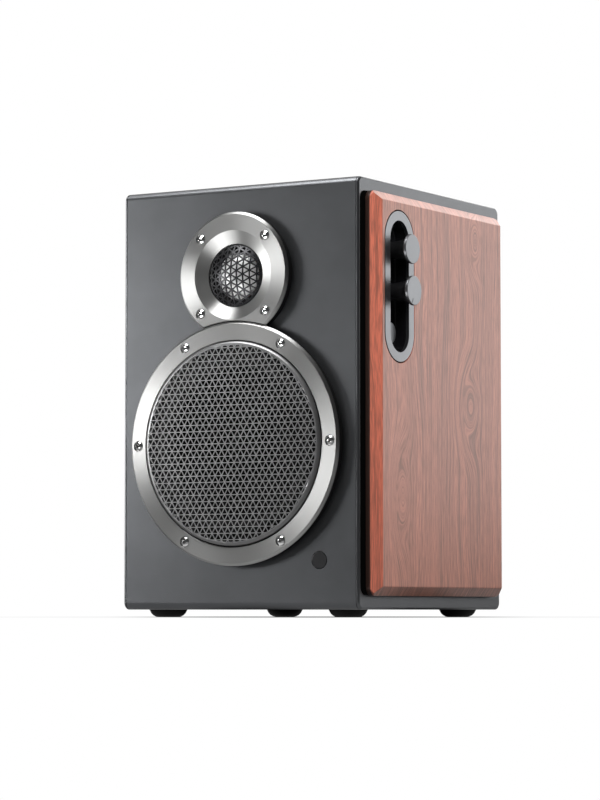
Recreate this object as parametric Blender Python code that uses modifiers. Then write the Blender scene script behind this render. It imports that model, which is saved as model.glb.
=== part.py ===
"""Two-way powered desktop speaker: a wrapped cabinet with wooden cheeks, on four rubber feet.

The front faces -Y and the controls are on the +X side. Metres, +Z up. The origin lies on the
surface that the feet stand on, in the middle of the whole speaker's box.

A driver's profile is a list of (radius, height) points. Heights are measured outwards from the
face that the piece is fitted to: the front of the baffle, the side plate or the back. A profile
runs down its outer side, and a ring's comes back up its inner side.
"""

import math

import bmesh
import bpy
from mathutils import Matrix, Vector

MM = 0.001
GAP = 0.3 * MM
SHARP = math.radians(32)
MERGE = 1e-6

# Cabinet
WIDTH = 150 * MM
DEPTH = 162 * MM
HEIGHT = 231 * MM
EDGE_RADIUS = 4 * MM
FRONT_WALL = 8 * MM
WALL = 5 * MM
THROUGH = 2 * WALL
SIDE_PLATE = 1.5 * MM
FOOT_HEIGHT = 4.1 * MM
FOOT_TOP_RADIUS = 10.5 * MM
FOOT_TREAD_RADIUS = 6.5 * MM
FOOT_X = 57.6 * MM
FOOT_Y = 62.2 * MM
FRONT = -DEPTH / 2
BACK = DEPTH / 2
SIDE = WIDTH / 2
SLEEVE_WIDTH = WIDTH - 2 * (SIDE_PLATE + GAP)

# Wooden cheeks
CHEEK_LENGTH = 147.4 * MM
CHEEK_HEIGHT = 216.8 * MM
CHEEK_Y = -0.5 * MM
CHEEK_Z = FOOT_HEIGHT + 115.6 * MM
CHEEK_CHAMFER = 5 * MM
RIGHT_CHEEK = 8 * MM
LEFT_CHEEK = 6.5 * MM
LEFT_CHAMFER = 4 * MM

# Woofer
WOOFER_Z = FOOT_HEIGHT + 89.6 * MM
TRIM_RADIUS = 66.15 * MM
TRIM_BORE = 56.1 * MM
TRIM_TOP = 6.6 * MM
TRIM_UNDER = 4.6 * MM
TRIM_CHAMFER = 1.3 * MM
BASE_TOP = TRIM_UNDER - GAP
BASE_INSET = 0.5 * MM
GRILLE_TOP = 8.05 * MM
GRILLE_RADIUS = 55.5 * MM
GRILLE_CURL = 2 * MM
SHEET = 0.8 * MM
FLANGE_RADIUS = 58.2 * MM
REBATE = 2.6 * MM
BAFFLE_BORE = 52.8 * MM
BASKET_SHEET = 1.5 * MM
BASKET_LIP = 52.3 * MM
BASKET_SHOULDER = 51.2 * MM
BASKET_SHOULDER_DEPTH = -6 * MM
BASKET_SEAT = 33.4 * MM
BASKET_DEPTH = -28 * MM
BASKET_BORE = 16 * MM
BASKET_WINDOWS = 6
BASKET_WINDOW_WIDTH = 22 * MM
BASKET_WINDOW_TOP = -8.5 * MM
BASKET_WINDOW_UNDER = -18.5 * MM
SURROUND_MIDDLE = 46.5 * MM
SURROUND_ROLL = 4.1 * MM
SURROUND_THICK = 0.6 * MM
SURROUND_RIM = 54.2 * MM
SURROUND_LIP = 1 * MM
ROLL_HEIGHT = 0.1 * MM
POLE_RADIUS = 12.1 * MM
COIL_BORE = 12.7 * MM
COIL_RADIUS = 13.3 * MM
CONE_RADIUS = 42 * MM
CONE_NECK = 13.7 * MM
CONE_THICK = 1 * MM
CONE_TOP = -0.6 * MM
CONE_FOOT = -18.2 * MM
DUST_CAP_TOP = -11.5 * MM
DUST_CAP_RADIUS = 15.5 * MM
DUST_CAP_RISE = 5 * MM
DUST_CAP_THICK = 0.8 * MM
COIL_TOP = -17.6 * MM
COIL_END = -38 * MM
SPIDER_INNER = 13.8 * MM
SPIDER_REACH = 22 * MM
SPIDER_WAVES = 3
SPIDER_RISE = 0.7 * MM
SPIDER_HEIGHT = -21.4 * MM
SPIDER_THICK = 0.5 * MM
POLE_TOP = -29 * MM
TOP_PLATE_BORE = 14.1 * MM
MOTOR_PLATE = 4 * MM
MOTOR_PLATE_RADIUS = 30 * MM
MAGNET_BORE = 18 * MM
MAGNET_RADIUS = 35 * MM
MAGNET_LENGTH = 14 * MM
TRIM_SCREWS = 6
TRIM_SCREW_CIRCLE = 61 * MM

# Tweeter
TWEETER_Z = FOOT_HEIGHT + 181.1 * MM
FACE_RADIUS = 34.5 * MM
FACE_CUT = TRIM_RADIUS + 0.45 * MM
FUNNEL_RADIUS = 24.4 * MM
THROAT_RADIUS = 17.3 * MM
THROAT_HEIGHT = 3.4 * MM
TWEETER_BORE = 25.6 * MM
TWEETER_HOLE = 20.9 * MM
TWEETER_REACH = 8.9 * MM
MESH_RADIUS = 16.9 * MM
MESH_RISE = 5.6 * MM
MESH_THICK = 0.6 * MM
MESH_WALL = 1.1 * MM
MESH_FOOT = 2.6 * MM
CHASSIS_TOP = 2.3 * MM
CHASSIS_SKIRT = -14 * MM
CHASSIS_RADIUS = 20.5 * MM
CHASSIS_BORE = 15.9 * MM
CHASSIS_SEAT = -0.9 * MM
DOME_RADIUS = 12.9 * MM
DOME_TOP = 5.1 * MM
DOME_RISE = 5 * MM
DOME_THICK = 0.4 * MM
HALF_ROLL = 14.4 * MM
HALF_ROLL_RISE = 1.2 * MM
HALF_ROLL_THICK = 0.4 * MM
TWEETER_COIL_BORE = 12.45 * MM
TWEETER_COIL_RADIUS = 12.85 * MM
TWEETER_COIL_TOP = -0.4 * MM
TWEETER_COIL_END = -7.3 * MM
TWEETER_MOTOR_RADIUS = 18.6 * MM
TWEETER_MOTOR_TOP = -3.5 * MM
TWEETER_MOTOR_LENGTH = 16 * MM
TWEETER_POLE = 12 * MM
TWEETER_SLOT_RADIUS = 13.4 * MM
TWEETER_SLOT_FLOOR = -9 * MM
FACE_SCREWS = 4
FACE_SCREW_CIRCLE = 28.9 * MM

# Screws
SCREW_HEAD = 2.45 * MM
SCREW_SHANK = 1.5 * MM
SCREW_HOLE = SCREW_SHANK + GAP
SCREW_SINK = 3 * MM
SINK_DEPTH = 0.8 * MM
SCREW_LENGTH = 12.6 * MM
SCREW_DOME = 1.2 * MM
SOCKET_RADIUS = 1.15 * MM

# Infra-red window
WINDOW_X = 50.7 * MM
WINDOW_Z = FOOT_HEIGHT + 26.3 * MM
WINDOW_RADIUS = 4.6 * MM
WINDOW_DEPTH = 4 * MM

# Controls in the right cheek
SLOT_Y = FRONT + 30.5 * MM
SLOT_Z = FOOT_HEIGHT + 173.7 * MM
SLOT_WIDTH = 32.4 * MM
SLOT_LENGTH = 82.3 * MM
MOUTH_WIDTH = 20.5 * MM
MOUTH_LENGTH = 71.3 * MM
BEZEL_TOP = 8.1 * MM
BEZEL_UNDER = 6 * MM
TRAY_FLANGE = 1.5 * MM
TRAY_WALL = 1.6 * MM
TRAY_FLOOR = -0.8 * MM
TRAY_UNDER = -2.3 * MM
KNOB_RADIUS = 8 * MM
KNOB_CAP = 1.6 * MM
VOLUME_Z = FOOT_HEIGHT + 193.5 * MM
VOLUME_TOP = 16.2 * MM
TONE_Z = FOOT_HEIGHT + 171 * MM
TONE_TOP = 17.2 * MM
SELECT_Z = FOOT_HEIGHT + 148.9 * MM
SELECT_RADIUS = 5.7 * MM
SELECT_TOP = 2.6 * MM
SELECT_THICK = 1.9 * MM
STEM_RADIUS = 2 * MM
STEM_END = -3.4 * MM
BUSH_RADIUS = 3.3 * MM
BUSH_TOP = 0.6 * MM
SHAFT_RADIUS = 2.5 * MM
SHAFT_TOP = 12 * MM
ENCODER_SIZE = 11 * MM
SWITCH_SIZE = 8 * MM
SWITCH_TOP = -4.9 * MM
BOARD_LENGTH = 74 * MM
BOARD_WIDTH = 22 * MM
BOARD_UNDER = -9 * MM
BOARD_THICK = 1.6 * MM

# Back
PANEL_WIDTH = 112 * MM
PANEL_HEIGHT = 192 * MM
PANEL_Z = FOOT_HEIGHT + 115.5 * MM
PANEL_THICK = 2 * MM
PANEL_CORNER = 3 * MM
PANEL_LEDGE = 6 * MM
PORT_Z = FOOT_HEIGHT + 182 * MM
PORT_BORE = 15.2 * MM
PORT_TUBE = 16.8 * MM
PORT_FLANGE = 22 * MM
PORT_LENGTH = 62 * MM
PORT_RISE = 1.8 * MM
SOCKETS_Z = FOOT_HEIGHT + 122 * MM
SOCKET_X = (-34 * MM, -16 * MM)
SOCKET_BARREL = 4.15 * MM
SOCKET_FLANGE = 5.6 * MM
SOCKET_FLANGE_TOP = 1.6 * MM
SOCKET_STEM = 4.3 * MM
SOCKET_END = 9 * MM
SOCKET_DEPTH = 8 * MM
SOCKET_BORE = 1.7 * MM
TERMINALS_X = 22 * MM
TERMINAL_PITCH = 16 * MM
TERMINAL_SIZE = (29 * MM, 19 * MM)
TERMINAL_FLANGE = (38 * MM, 26 * MM)
TERMINAL_FACE = 3 * MM
TERMINAL_DEPTH = 12 * MM
WIRE_HOLE_RADIUS = 1.4 * MM
WIRE_HOLE_DROP = 7 * MM
WIRE_HOLE_DEPTH = 6 * MM
LEVER_SIZE = (10 * MM, 3 * MM)
LEVER_CORNER = 0.8 * MM
LEVER_REACH = 10 * MM
LEVER_PIVOT = 5.2 * MM
LEVER_RISE = 4 * MM
INLET_Z = FOOT_HEIGHT + 48 * MM
INLET_FACE = 2.5 * MM
INLET_SIZE = (49 * MM, 22 * MM)
INLET_FLANGE = (58 * MM, 30 * MM)
INLET_DEPTH = 16 * MM
INLET_PIN_X = -13 * MM
INLET_SOCKET = (19 * MM, 9.4 * MM)
INLET_SOCKET_DEPTH = 12 * MM
FLANGE_CORNER = 2 * MM
ROCKER_X = 14 * MM
ROCKER_SIZE = (12.8 * MM, 18.2 * MM)
ROCKER_UNDER = -3.4 * MM
ROCKER_TOP = 2.2 * MM
ROCKER_WELL = (13.6 * MM, 19.8 * MM)
ROCKER_WELL_DEPTH = 6 * MM
ROCKER_PIVOT = 0.8 * MM
ROCKER_TILT = math.radians(8)

# Electronics
AMP_SETBACK = 26 * MM
AMP_BOARD_SIZE = (92 * MM, 108 * MM)
AMP_BOARD_Z = FOOT_HEIGHT + 88 * MM
SINK_SIZE = (58 * MM, 44 * MM)
SINK_BASE = 4 * MM
SINK_Z = FOOT_HEIGHT + 112 * MM
FINS = 7
FIN_PITCH = 9 * MM
FIN_THICK = 2 * MM
FIN_HEIGHT = 16 * MM
CORE_SIZE = (56 * MM, 20 * MM)
CORE_HEIGHT = 46 * MM
CORE_Y = 12 * MM
WINDING_SIZE = (36 * MM, 40 * MM)
WINDING_UNDER = 8 * MM
WINDING_TOP = 38 * MM
WINDING_CORNER = 4 * MM

# The speaker's box is centred on the origin, so the cabinet stands a little off it
CENTRE_X = (LEFT_CHEEK - TONE_TOP) / 2
CENTRE_Y = (TWEETER_REACH - LEVER_REACH) / 2

FACING_FRONT = (math.radians(90), 0, 0)
FACING_RIGHT = (0, math.radians(90), 0)
FACING_LEFT = (0, math.radians(-90), 0)
FACING_BACK = (math.radians(-90), 0, 0)
UPRIGHT = (0, 0, 0)

# Colour, roughness and metallic value of each sort of material
ANTHRACITE = ((0.09, 0.092, 0.097), 0.5, 0.3)
WALNUT = ((0.30, 0.12, 0.075), 0.45, 0.0)
STEEL = ((0.62, 0.62, 0.61), 0.25, 1.0)
SILVER = ((0.55, 0.56, 0.57), 0.35, 1.0)
BLACK_PLASTIC = ((0.015, 0.015, 0.016), 0.4, 0.0)
BLACK_STEEL = ((0.03, 0.03, 0.032), 0.45, 0.8)
RUBBER = ((0.012, 0.012, 0.012), 0.8, 0.0)
PAPER = ((0.03, 0.03, 0.03), 0.85, 0.0)
CLOTH = ((0.42, 0.24, 0.12), 0.9, 0.0)
FERRITE = ((0.05, 0.05, 0.055), 0.6, 0.0)
ZINC = ((0.5, 0.51, 0.5), 0.35, 1.0)
COPPER = ((0.6, 0.26, 0.12), 0.35, 1.0)
GREEN_BOARD = ((0.02, 0.12, 0.05), 0.45, 0.0)
RED_PLASTIC = ((0.5, 0.02, 0.02), 0.4, 0.0)
WHITE_PLASTIC = ((0.75, 0.75, 0.73), 0.4, 0.0)
SMOKED = ((0.01, 0.008, 0.012), 0.08, 0.0)


def clear_scene():
    """Remove whatever objects the file opened with."""
    for old in list(bpy.data.objects):
        bpy.data.objects.remove(old, do_unlink=True)


def new_collection(name):
    """A new collection linked to the scene."""
    made = bpy.data.collections.new(name)
    bpy.context.scene.collection.children.link(made)
    return made


def new_material(name, sort):
    """A Principled material named for its sub-part."""
    colour, roughness, metallic = sort
    made = bpy.data.materials.new(name)
    made.use_nodes = True
    shader = made.node_tree.nodes["Principled BSDF"]
    shader.inputs["Base Color"].default_value = (*colour, 1)
    shader.inputs["Roughness"].default_value = roughness
    shader.inputs["Metallic"].default_value = metallic
    made.diffuse_color = (*colour, 1)
    return made


clear_scene()
PARTS = new_collection("desktop_speaker")
CUTTERS = new_collection("cutters")
ORIGIN = bpy.data.objects.new("speaker_centre", None)
ORIGIN.location = (CENTRE_X, CENTRE_Y, 0)
PARTS.objects.link(ORIGIN)


def placed(name, mesh, place, facing):
    """A new object of the cabinet's frame, set down at a place and turned to a face."""
    made = bpy.data.objects.new(name, mesh)
    made.location = place
    made.rotation_euler = facing
    made.parent = ORIGIN
    return made


def as_part(shape, sort):
    """Keep a shape as a sub-part with a material of its own."""
    PARTS.objects.link(shape)
    shape.data.materials.append(new_material(shape.name, sort))
    return shape


def as_tool(shape):
    """Keep a shape as a cutter or an addition that isn't itself part of the speaker."""
    CUTTERS.objects.link(shape)
    shape.hide_render = True
    shape.display_type = "WIRE"
    return shape


def combine(part, tool, operation):
    """Cut a tool out of a part, or join it on."""
    step = part.modifiers.new(tool.name, "BOOLEAN")
    step.object = as_tool(tool)
    step.operation = operation


def cut(part, *tools):
    """Cut each tool out of a part."""
    for tool in tools:
        combine(part, tool, "DIFFERENCE")


def join(part, *tools):
    """Join each tool to a part."""
    for tool in tools:
        combine(part, tool, "UNION")


def settled(part):
    """Replace a part's modifiers by the mesh they give, shaded smooth between its sharp edges."""
    graph = bpy.context.evaluated_depsgraph_get()
    mesh = bpy.data.meshes.new_from_object(part.evaluated_get(graph))
    part.modifiers.clear()
    part.data = mesh
    mesh.shade_smooth()
    mesh.set_sharp_from_angle(angle=SHARP)
    return part


def turned(name, profile, place, facing, steps, ring):
    """A turned shape: its profile swept round its own Z axis."""
    points = [(radius, 0, height) for radius, height in profile]
    edges = [(i, i + 1) for i in range(len(points) - 1)]
    if ring:
        edges.append((len(points) - 1, 0))
    mesh = bpy.data.meshes.new(name)
    mesh.from_pydata(points, edges, [])
    made = placed(name, mesh, place, facing)
    screw = made.modifiers.new("turn", "SCREW")
    screw.axis = "Z"
    screw.steps = steps
    screw.render_steps = steps
    screw.use_merge_vertices = True
    screw.merge_threshold = MERGE
    return made


def solid_turned(name, profile, place, facing, steps=20):
    """A turned shape whose profile starts and ends on its axis."""
    return turned(name, profile, place, facing, steps, ring=False)


def ring_turned(name, profile, place, facing, steps=20):
    """A turned shape with a hole through it."""
    return turned(name, profile, place, facing, steps, ring=True)


def prism(segments, radius, low, high):
    """A round bar's bmesh between two heights, turned half a step so that its flats meet the axes."""
    shape = bmesh.new()
    half_step = math.pi / segments
    bmesh.ops.create_cone(
        shape, cap_ends=True, segments=segments, radius1=radius, radius2=radius, depth=high - low
    )
    bmesh.ops.rotate(shape, cent=(0, 0, 0), matrix=Matrix.Rotation(half_step, 3, "Z"), verts=shape.verts)
    bmesh.ops.translate(shape, vec=(0, 0, (low + high) / 2), verts=shape.verts)
    return shape


def as_mesh(name, shape):
    """The mesh of a finished bmesh."""
    mesh = bpy.data.meshes.new(name)
    shape.to_mesh(mesh)
    shape.free()
    return mesh


def rod(name, radius, low, high, place, facing, steps=16):
    """A plain round rod between two heights."""
    return placed(name, as_mesh(name, prism(steps, radius, low, high)), place, facing)


def arc(centre_radius, centre_height, radius, start, end, steps):
    """Profile points along an arc, with its angles in degrees from the outward radius."""
    angles = [math.radians(start + (end - start) * i / steps) for i in range(steps + 1)]
    return [(centre_radius + radius * math.cos(a), centre_height + radius * math.sin(a)) for a in angles]


def cap_outer(top, rim_radius, sagitta, steps):
    """Profile of a spherical cap from its crown on the axis down to its rim."""
    ball = (rim_radius**2 + sagitta**2) / (2 * sagitta)
    last = math.asin(rim_radius / ball)
    turns = [last * i / steps for i in range(steps + 1)]
    return [(ball * math.sin(a), top - ball + ball * math.cos(a)) for a in turns]


def dome_shell(top, rim_radius, sagitta, thick, steps):
    """Profile of a thin dome: over its outside, then back under its inside."""
    outside = cap_outer(top, rim_radius, sagitta, steps)
    inside = cap_outer(top - thick, rim_radius - thick, sagitta * (1 - thick / rim_radius), steps)
    return outside + inside[::-1]


def block_mesh(name, size, low_centre):
    """A box mesh that stands on a point of its own Z axis."""
    shape = bmesh.new()
    bmesh.ops.create_cube(shape, size=1)
    bmesh.ops.scale(shape, vec=size, verts=shape.verts)
    bmesh.ops.translate(shape, vec=(0, 0, low_centre + size[2] / 2), verts=shape.verts)
    return as_mesh(name, shape)


def round_edges(mesh, along, width, segments):
    """Round a box mesh's four edges that run along one of its own axes."""
    shape = bmesh.new()
    shape.from_mesh(mesh)
    axis = Vector(along)
    chosen = [e for e in shape.edges if abs((e.verts[0].co - e.verts[1].co).normalized().dot(axis)) > 0.99]
    bmesh.ops.bevel(shape, geom=chosen, offset=width, segments=segments, profile=0.5, affect="EDGES")
    shape.to_mesh(mesh)
    shape.free()


def block(name, width, length, low, high, place, facing, radius=0, segments=3):
    """A box between two heights, with its upright edges rounded if it has a radius."""
    mesh = block_mesh(name, (width, length, high - low), low)
    if radius:
        round_edges(mesh, (0, 0, 1), radius, segments)
    return placed(name, mesh, place, facing)


def stadium(name, length, width, low, high, place, facing, segments=24):
    """A prism with round ends, long along its own X axis."""
    radius = width / 2 / math.cos(math.pi / segments)
    shape = prism(segments, radius, low, high)
    for vert in shape.verts:
        vert.co.x += math.copysign((length - width) / 2, vert.co.x)
    return placed(name, as_mesh(name, shape), place, facing)


def on_circle(count, circle, centre, first):
    """Places spaced round a circle on the front, from a first angle in degrees."""
    angles = [math.radians(first + 360 * i / count) for i in range(count)]
    return [(circle * math.cos(a), FRONT, centre + circle * math.sin(a)) for a in angles]


WOOFER = (0, FRONT, WOOFER_Z)
TWEETER = (0, FRONT, TWEETER_Z)
TRIM_SCREW_PLACES = on_circle(TRIM_SCREWS, TRIM_SCREW_CIRCLE, WOOFER_Z, 0)
FACE_SCREW_PLACES = on_circle(FACE_SCREWS, FACE_SCREW_CIRCLE, TWEETER_Z, 45)


def screw_holes(part, places, low, high):
    """Bore a clearance hole through a part at each screw."""
    for i, place in enumerate(places):
        cut(part, rod(f"{part.name}_hole_{i + 1}", SCREW_HOLE, low, high, place, FACING_FRONT, 12))


def screw_sinks(part, places):
    """Sink a round seat for each screw's head."""
    for i, place in enumerate(places):
        floor = TRIM_TOP - SINK_DEPTH
        cut(part, rod(f"{part.name}_seat_{i + 1}", SCREW_SINK, floor, TRIM_TOP + WALL, place, FACING_FRONT))


def cabinet_sleeve():
    """The wrapped baffle, top, back and bottom, open at its two sides."""
    mesh = block_mesh("cabinet_sleeve", (SLEEVE_WIDTH, DEPTH, HEIGHT), 0)
    round_edges(mesh, (1, 0, 0), EDGE_RADIUS, 4)
    sleeve = as_part(placed("cabinet_sleeve", mesh, (0, 0, FOOT_HEIGHT), UPRIGHT), ANTHRACITE)
    cavity_depth = DEPTH - FRONT_WALL - WALL
    cavity_y = (FRONT_WALL - WALL) / 2
    cavity_place = (0, cavity_y, FOOT_HEIGHT)
    cut(sleeve, block("sleeve_cavity", WIDTH, cavity_depth, WALL, HEIGHT - WALL, cavity_place, UPRIGHT))
    step = [(0, WALL), (FLANGE_RADIUS + GAP, WALL), (FLANGE_RADIUS + GAP, -REBATE)]
    step += [(BAFFLE_BORE, -REBATE), (BAFFLE_BORE, -2 * FRONT_WALL), (0, -2 * FRONT_WALL)]
    cut(sleeve, solid_turned("woofer_bore", step, WOOFER, FACING_FRONT, 48))
    cut(sleeve, rod("tweeter_bore", TWEETER_HOLE, -2 * FRONT_WALL, WALL, TWEETER, FACING_FRONT, 32))
    window = (WINDOW_X, FRONT, WINDOW_Z)
    cut(sleeve, rod("window_bore", WINDOW_RADIUS + GAP, -2 * FRONT_WALL, WALL, window, FACING_FRONT, 24))
    blind = -FRONT_WALL + MM
    screw_holes(sleeve, TRIM_SCREW_PLACES + FACE_SCREW_PLACES, blind, WALL)
    back = (0, BACK, PANEL_Z)
    rebate = PANEL_THICK + GAP
    size = (PANEL_WIDTH + 2 * GAP, PANEL_HEIGHT + 2 * GAP)
    cut(sleeve, block("panel_rebate", *size, -rebate, WALL, back, FACING_BACK, PANEL_CORNER))
    size = (PANEL_WIDTH - 2 * PANEL_LEDGE, PANEL_HEIGHT - 2 * PANEL_LEDGE)
    cut(sleeve, block("panel_window", *size, -THROUGH, WALL, back, FACING_BACK))
    return settled(sleeve)


def side_plate(name, side):
    """A thin plate that closes one side of the sleeve, its corners rounded with the wrap."""
    mesh = block_mesh(name, (SIDE_PLATE, DEPTH, HEIGHT), 0)
    round_edges(mesh, (1, 0, 0), EDGE_RADIUS, 4)
    place = (side * (SIDE - SIDE_PLATE / 2), 0, FOOT_HEIGHT)
    return as_part(placed(name, mesh, place, UPRIGHT), ANTHRACITE)


def side_plates():
    """Both side plates. The right one is open behind the control tray."""
    right = side_plate("side_plate_right", 1)
    width = MOUTH_WIDTH + 2 * (TRAY_WALL + 2 * GAP)
    length = MOUTH_LENGTH + 2 * (TRAY_WALL + 2 * GAP)
    cut(right, stadium("tray_window", length, width, -WALL, WALL, (SIDE, SLOT_Y, SLOT_Z), FACING_RIGHT))
    settled(right)
    settled(side_plate("side_plate_left", -1))


def cheek(name, thick, chamfer, place, facing):
    """A wooden cheek with a wide mitred chamfer round its outer face."""
    mesh = block_mesh(name, (CHEEK_HEIGHT, CHEEK_LENGTH, thick - GAP), GAP)
    shape = bmesh.new()
    shape.from_mesh(mesh)
    top = [e for e in shape.edges if all(abs(v.co.z - thick) < MERGE for v in e.verts)]
    bmesh.ops.bevel(shape, geom=top, offset=chamfer, segments=1, profile=0.5, affect="EDGES")
    shape.to_mesh(mesh)
    shape.free()
    return as_part(placed(name, mesh, place, facing), WALNUT)


def cheeks():
    """The right cheek with its control slot, and the plain left one."""
    right = cheek("wood_panel_right", RIGHT_CHEEK, CHEEK_CHAMFER, (SIDE, CHEEK_Y, CHEEK_Z), FACING_RIGHT)
    slot = stadium("slot", SLOT_LENGTH, SLOT_WIDTH, -WALL, 3 * WALL, (SIDE, SLOT_Y, SLOT_Z), FACING_RIGHT)
    cut(right, slot)
    settled(right)
    place = (-SIDE, CHEEK_Y, CHEEK_Z)
    settled(cheek("wood_panel_left", LEFT_CHEEK, LEFT_CHAMFER, place, FACING_LEFT))


def foot(name, x, y):
    """A domed rubber foot with a flat tread."""
    top = FOOT_HEIGHT - GAP
    bulge = [(FOOT_TREAD_RADIUS, 0.4 * MM), (FOOT_TREAD_RADIUS - 0.6 * MM, 0)]
    rim = arc(FOOT_TREAD_RADIUS, top, FOOT_TOP_RADIUS - FOOT_TREAD_RADIUS, -8, -68, 3)
    profile = [(0, top), (FOOT_TOP_RADIUS, top)] + rim + bulge + [(0, 0)]
    settled(as_part(solid_turned(name, profile, (x, y, 0), UPRIGHT), RUBBER))


def feet():
    """Four feet, one near each corner."""
    for end, y in (("front", -FOOT_Y), ("rear", FOOT_Y)):
        for side, x in (("right", FOOT_X), ("left", -FOOT_X)):
            foot(f"foot_{end}_{side}", x, y)


def driver_base():
    """The black figure-of-eight spacer under both trim rings."""
    outer = TRIM_RADIUS - BASE_INSET
    base = as_part(rod("driver_base", outer, GAP, BASE_TOP, WOOFER, FACING_FRONT, 48), BLACK_PLASTIC)
    join(base, rod("tweeter_base", FACE_RADIUS - BASE_INSET, GAP, BASE_TOP, TWEETER, FACING_FRONT, 36))
    cut(base, rod("base_woofer_bore", TRIM_BORE, -WALL, THROUGH, WOOFER, FACING_FRONT, 48))
    cut(base, rod("base_tweeter_bore", TWEETER_BORE, -WALL, THROUGH, TWEETER, FACING_FRONT, 32))
    screw_holes(base, TRIM_SCREW_PLACES + FACE_SCREW_PLACES, -WALL, THROUGH)
    settled(base)


def woofer_trim_ring():
    """The bright ring round the woofer, with a chamfered rim and six screw seats."""
    profile = [
        (TRIM_RADIUS - TRIM_CHAMFER, TRIM_TOP),
        (TRIM_RADIUS, TRIM_TOP - TRIM_CHAMFER),
        (TRIM_RADIUS, TRIM_UNDER),
        (TRIM_BORE, TRIM_UNDER),
        (TRIM_BORE, TRIM_TOP - 0.3 * MM),
        (TRIM_BORE + 0.3 * MM, TRIM_TOP),
    ]
    ring = as_part(ring_turned("woofer_trim_ring", profile, WOOFER, FACING_FRONT, 64), STEEL)
    screw_holes(ring, TRIM_SCREW_PLACES, 0, THROUGH)
    screw_sinks(ring, TRIM_SCREW_PLACES)
    settled(ring)


def woofer_grille():
    """The woofer's sheet grille: a flat field whose rim curls back inside the trim ring."""
    bend = GRILLE_RADIUS - GRILLE_CURL
    foot_height = 1.5 * MM
    outside = arc(bend, GRILLE_TOP - GRILLE_CURL, GRILLE_CURL, 90, 0, 3)
    inside = arc(bend, GRILLE_TOP - GRILLE_CURL, GRILLE_CURL - SHEET, 0, 90, 2)
    legs = [(GRILLE_RADIUS, foot_height), (GRILLE_RADIUS - SHEET, foot_height)]
    profile = [(0, GRILLE_TOP)] + outside + legs + inside + [(0, GRILLE_TOP - SHEET)]
    settled(as_part(solid_turned("woofer_grille", profile, WOOFER, FACING_FRONT, 48), SILVER))


def woofer_basket():
    """The pressed frame that holds the woofer together, with windows in its wall."""
    profile = [
        (FLANGE_RADIUS, -0.2 * MM),
        (FLANGE_RADIUS, GAP - REBATE),
        (BASKET_LIP, GAP - REBATE),
        (BASKET_SHOULDER, BASKET_SHOULDER_DEPTH),
        (BASKET_SEAT, BASKET_DEPTH),
        (BASKET_BORE, BASKET_DEPTH),
        (BASKET_BORE, BASKET_DEPTH + BASKET_SHEET),
        (BASKET_SEAT - BASKET_SHEET / 2, BASKET_DEPTH + BASKET_SHEET),
        (BASKET_SHOULDER - BASKET_SHEET, BASKET_SHOULDER_DEPTH + BASKET_SHEET / 2),
        (BASKET_LIP - BASKET_SHEET, -0.2 * MM),
    ]
    basket = as_part(ring_turned("woofer_basket", profile, WOOFER, FACING_FRONT, 24), BLACK_STEEL)
    size = (2 * FLANGE_RADIUS, BASKET_WINDOW_WIDTH)
    heights = (BASKET_WINDOW_UNDER, BASKET_WINDOW_TOP)
    for i in range(BASKET_WINDOWS // 2):
        window = block(f"basket_window_{i + 1}", *size, *heights, WOOFER, FACING_FRONT)
        window.rotation_euler.rotate_axis("Z", 2 * math.pi * (i + 0.5) / BASKET_WINDOWS)
        cut(basket, window)
    settled(basket)


def woofer_surround():
    """The rubber half roll between the basket and the cone."""
    outside = arc(SURROUND_MIDDLE, ROLL_HEIGHT, SURROUND_ROLL, 180, 0, 4)
    inside = arc(SURROUND_MIDDLE, ROLL_HEIGHT, SURROUND_ROLL - SURROUND_THICK, 0, 180, 4)
    lip = [(SURROUND_MIDDLE + SURROUND_ROLL, SURROUND_LIP)]
    lip += [(SURROUND_RIM, SURROUND_LIP), (SURROUND_RIM, ROLL_HEIGHT)]
    profile = outside[:-1] + lip + inside
    settled(as_part(ring_turned("woofer_surround", profile, WOOFER, FACING_FRONT, 24), RUBBER))


def woofer_cone():
    """The paper cone."""
    profile = [
        (CONE_RADIUS, CONE_TOP),
        (CONE_RADIUS, CONE_TOP - CONE_THICK),
        (CONE_NECK, CONE_FOOT - CONE_THICK),
        (CONE_NECK, CONE_FOOT),
    ]
    settled(as_part(ring_turned("woofer_cone", profile, WOOFER, FACING_FRONT, 24), PAPER))


def woofer_dust_cap():
    """The cap over the woofer's voice coil."""
    profile = dome_shell(DUST_CAP_TOP, DUST_CAP_RADIUS, DUST_CAP_RISE, DUST_CAP_THICK, 3)
    settled(as_part(solid_turned("woofer_dust_cap", profile, WOOFER, FACING_FRONT), PAPER))


def woofer_spider():
    """The pleated cloth ring that centres the cone's neck."""
    count = 2 * SPIDER_WAVES
    radii = [SPIDER_INNER + SPIDER_REACH * i / count for i in range(count + 1)]
    heights = [SPIDER_HEIGHT + (SPIDER_RISE if i % 2 else 0) for i in range(count + 1)]
    under = list(zip(radii, heights))
    top = [(radius, height + SPIDER_THICK) for radius, height in under]
    settled(as_part(ring_turned("woofer_spider", top + under[::-1], WOOFER, FACING_FRONT), CLOTH))


def tube_profile(bore, radius, low, high):
    """Profile of a plain tube or washer."""
    return [(radius, high), (radius, low), (bore, low), (bore, high)]


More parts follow.
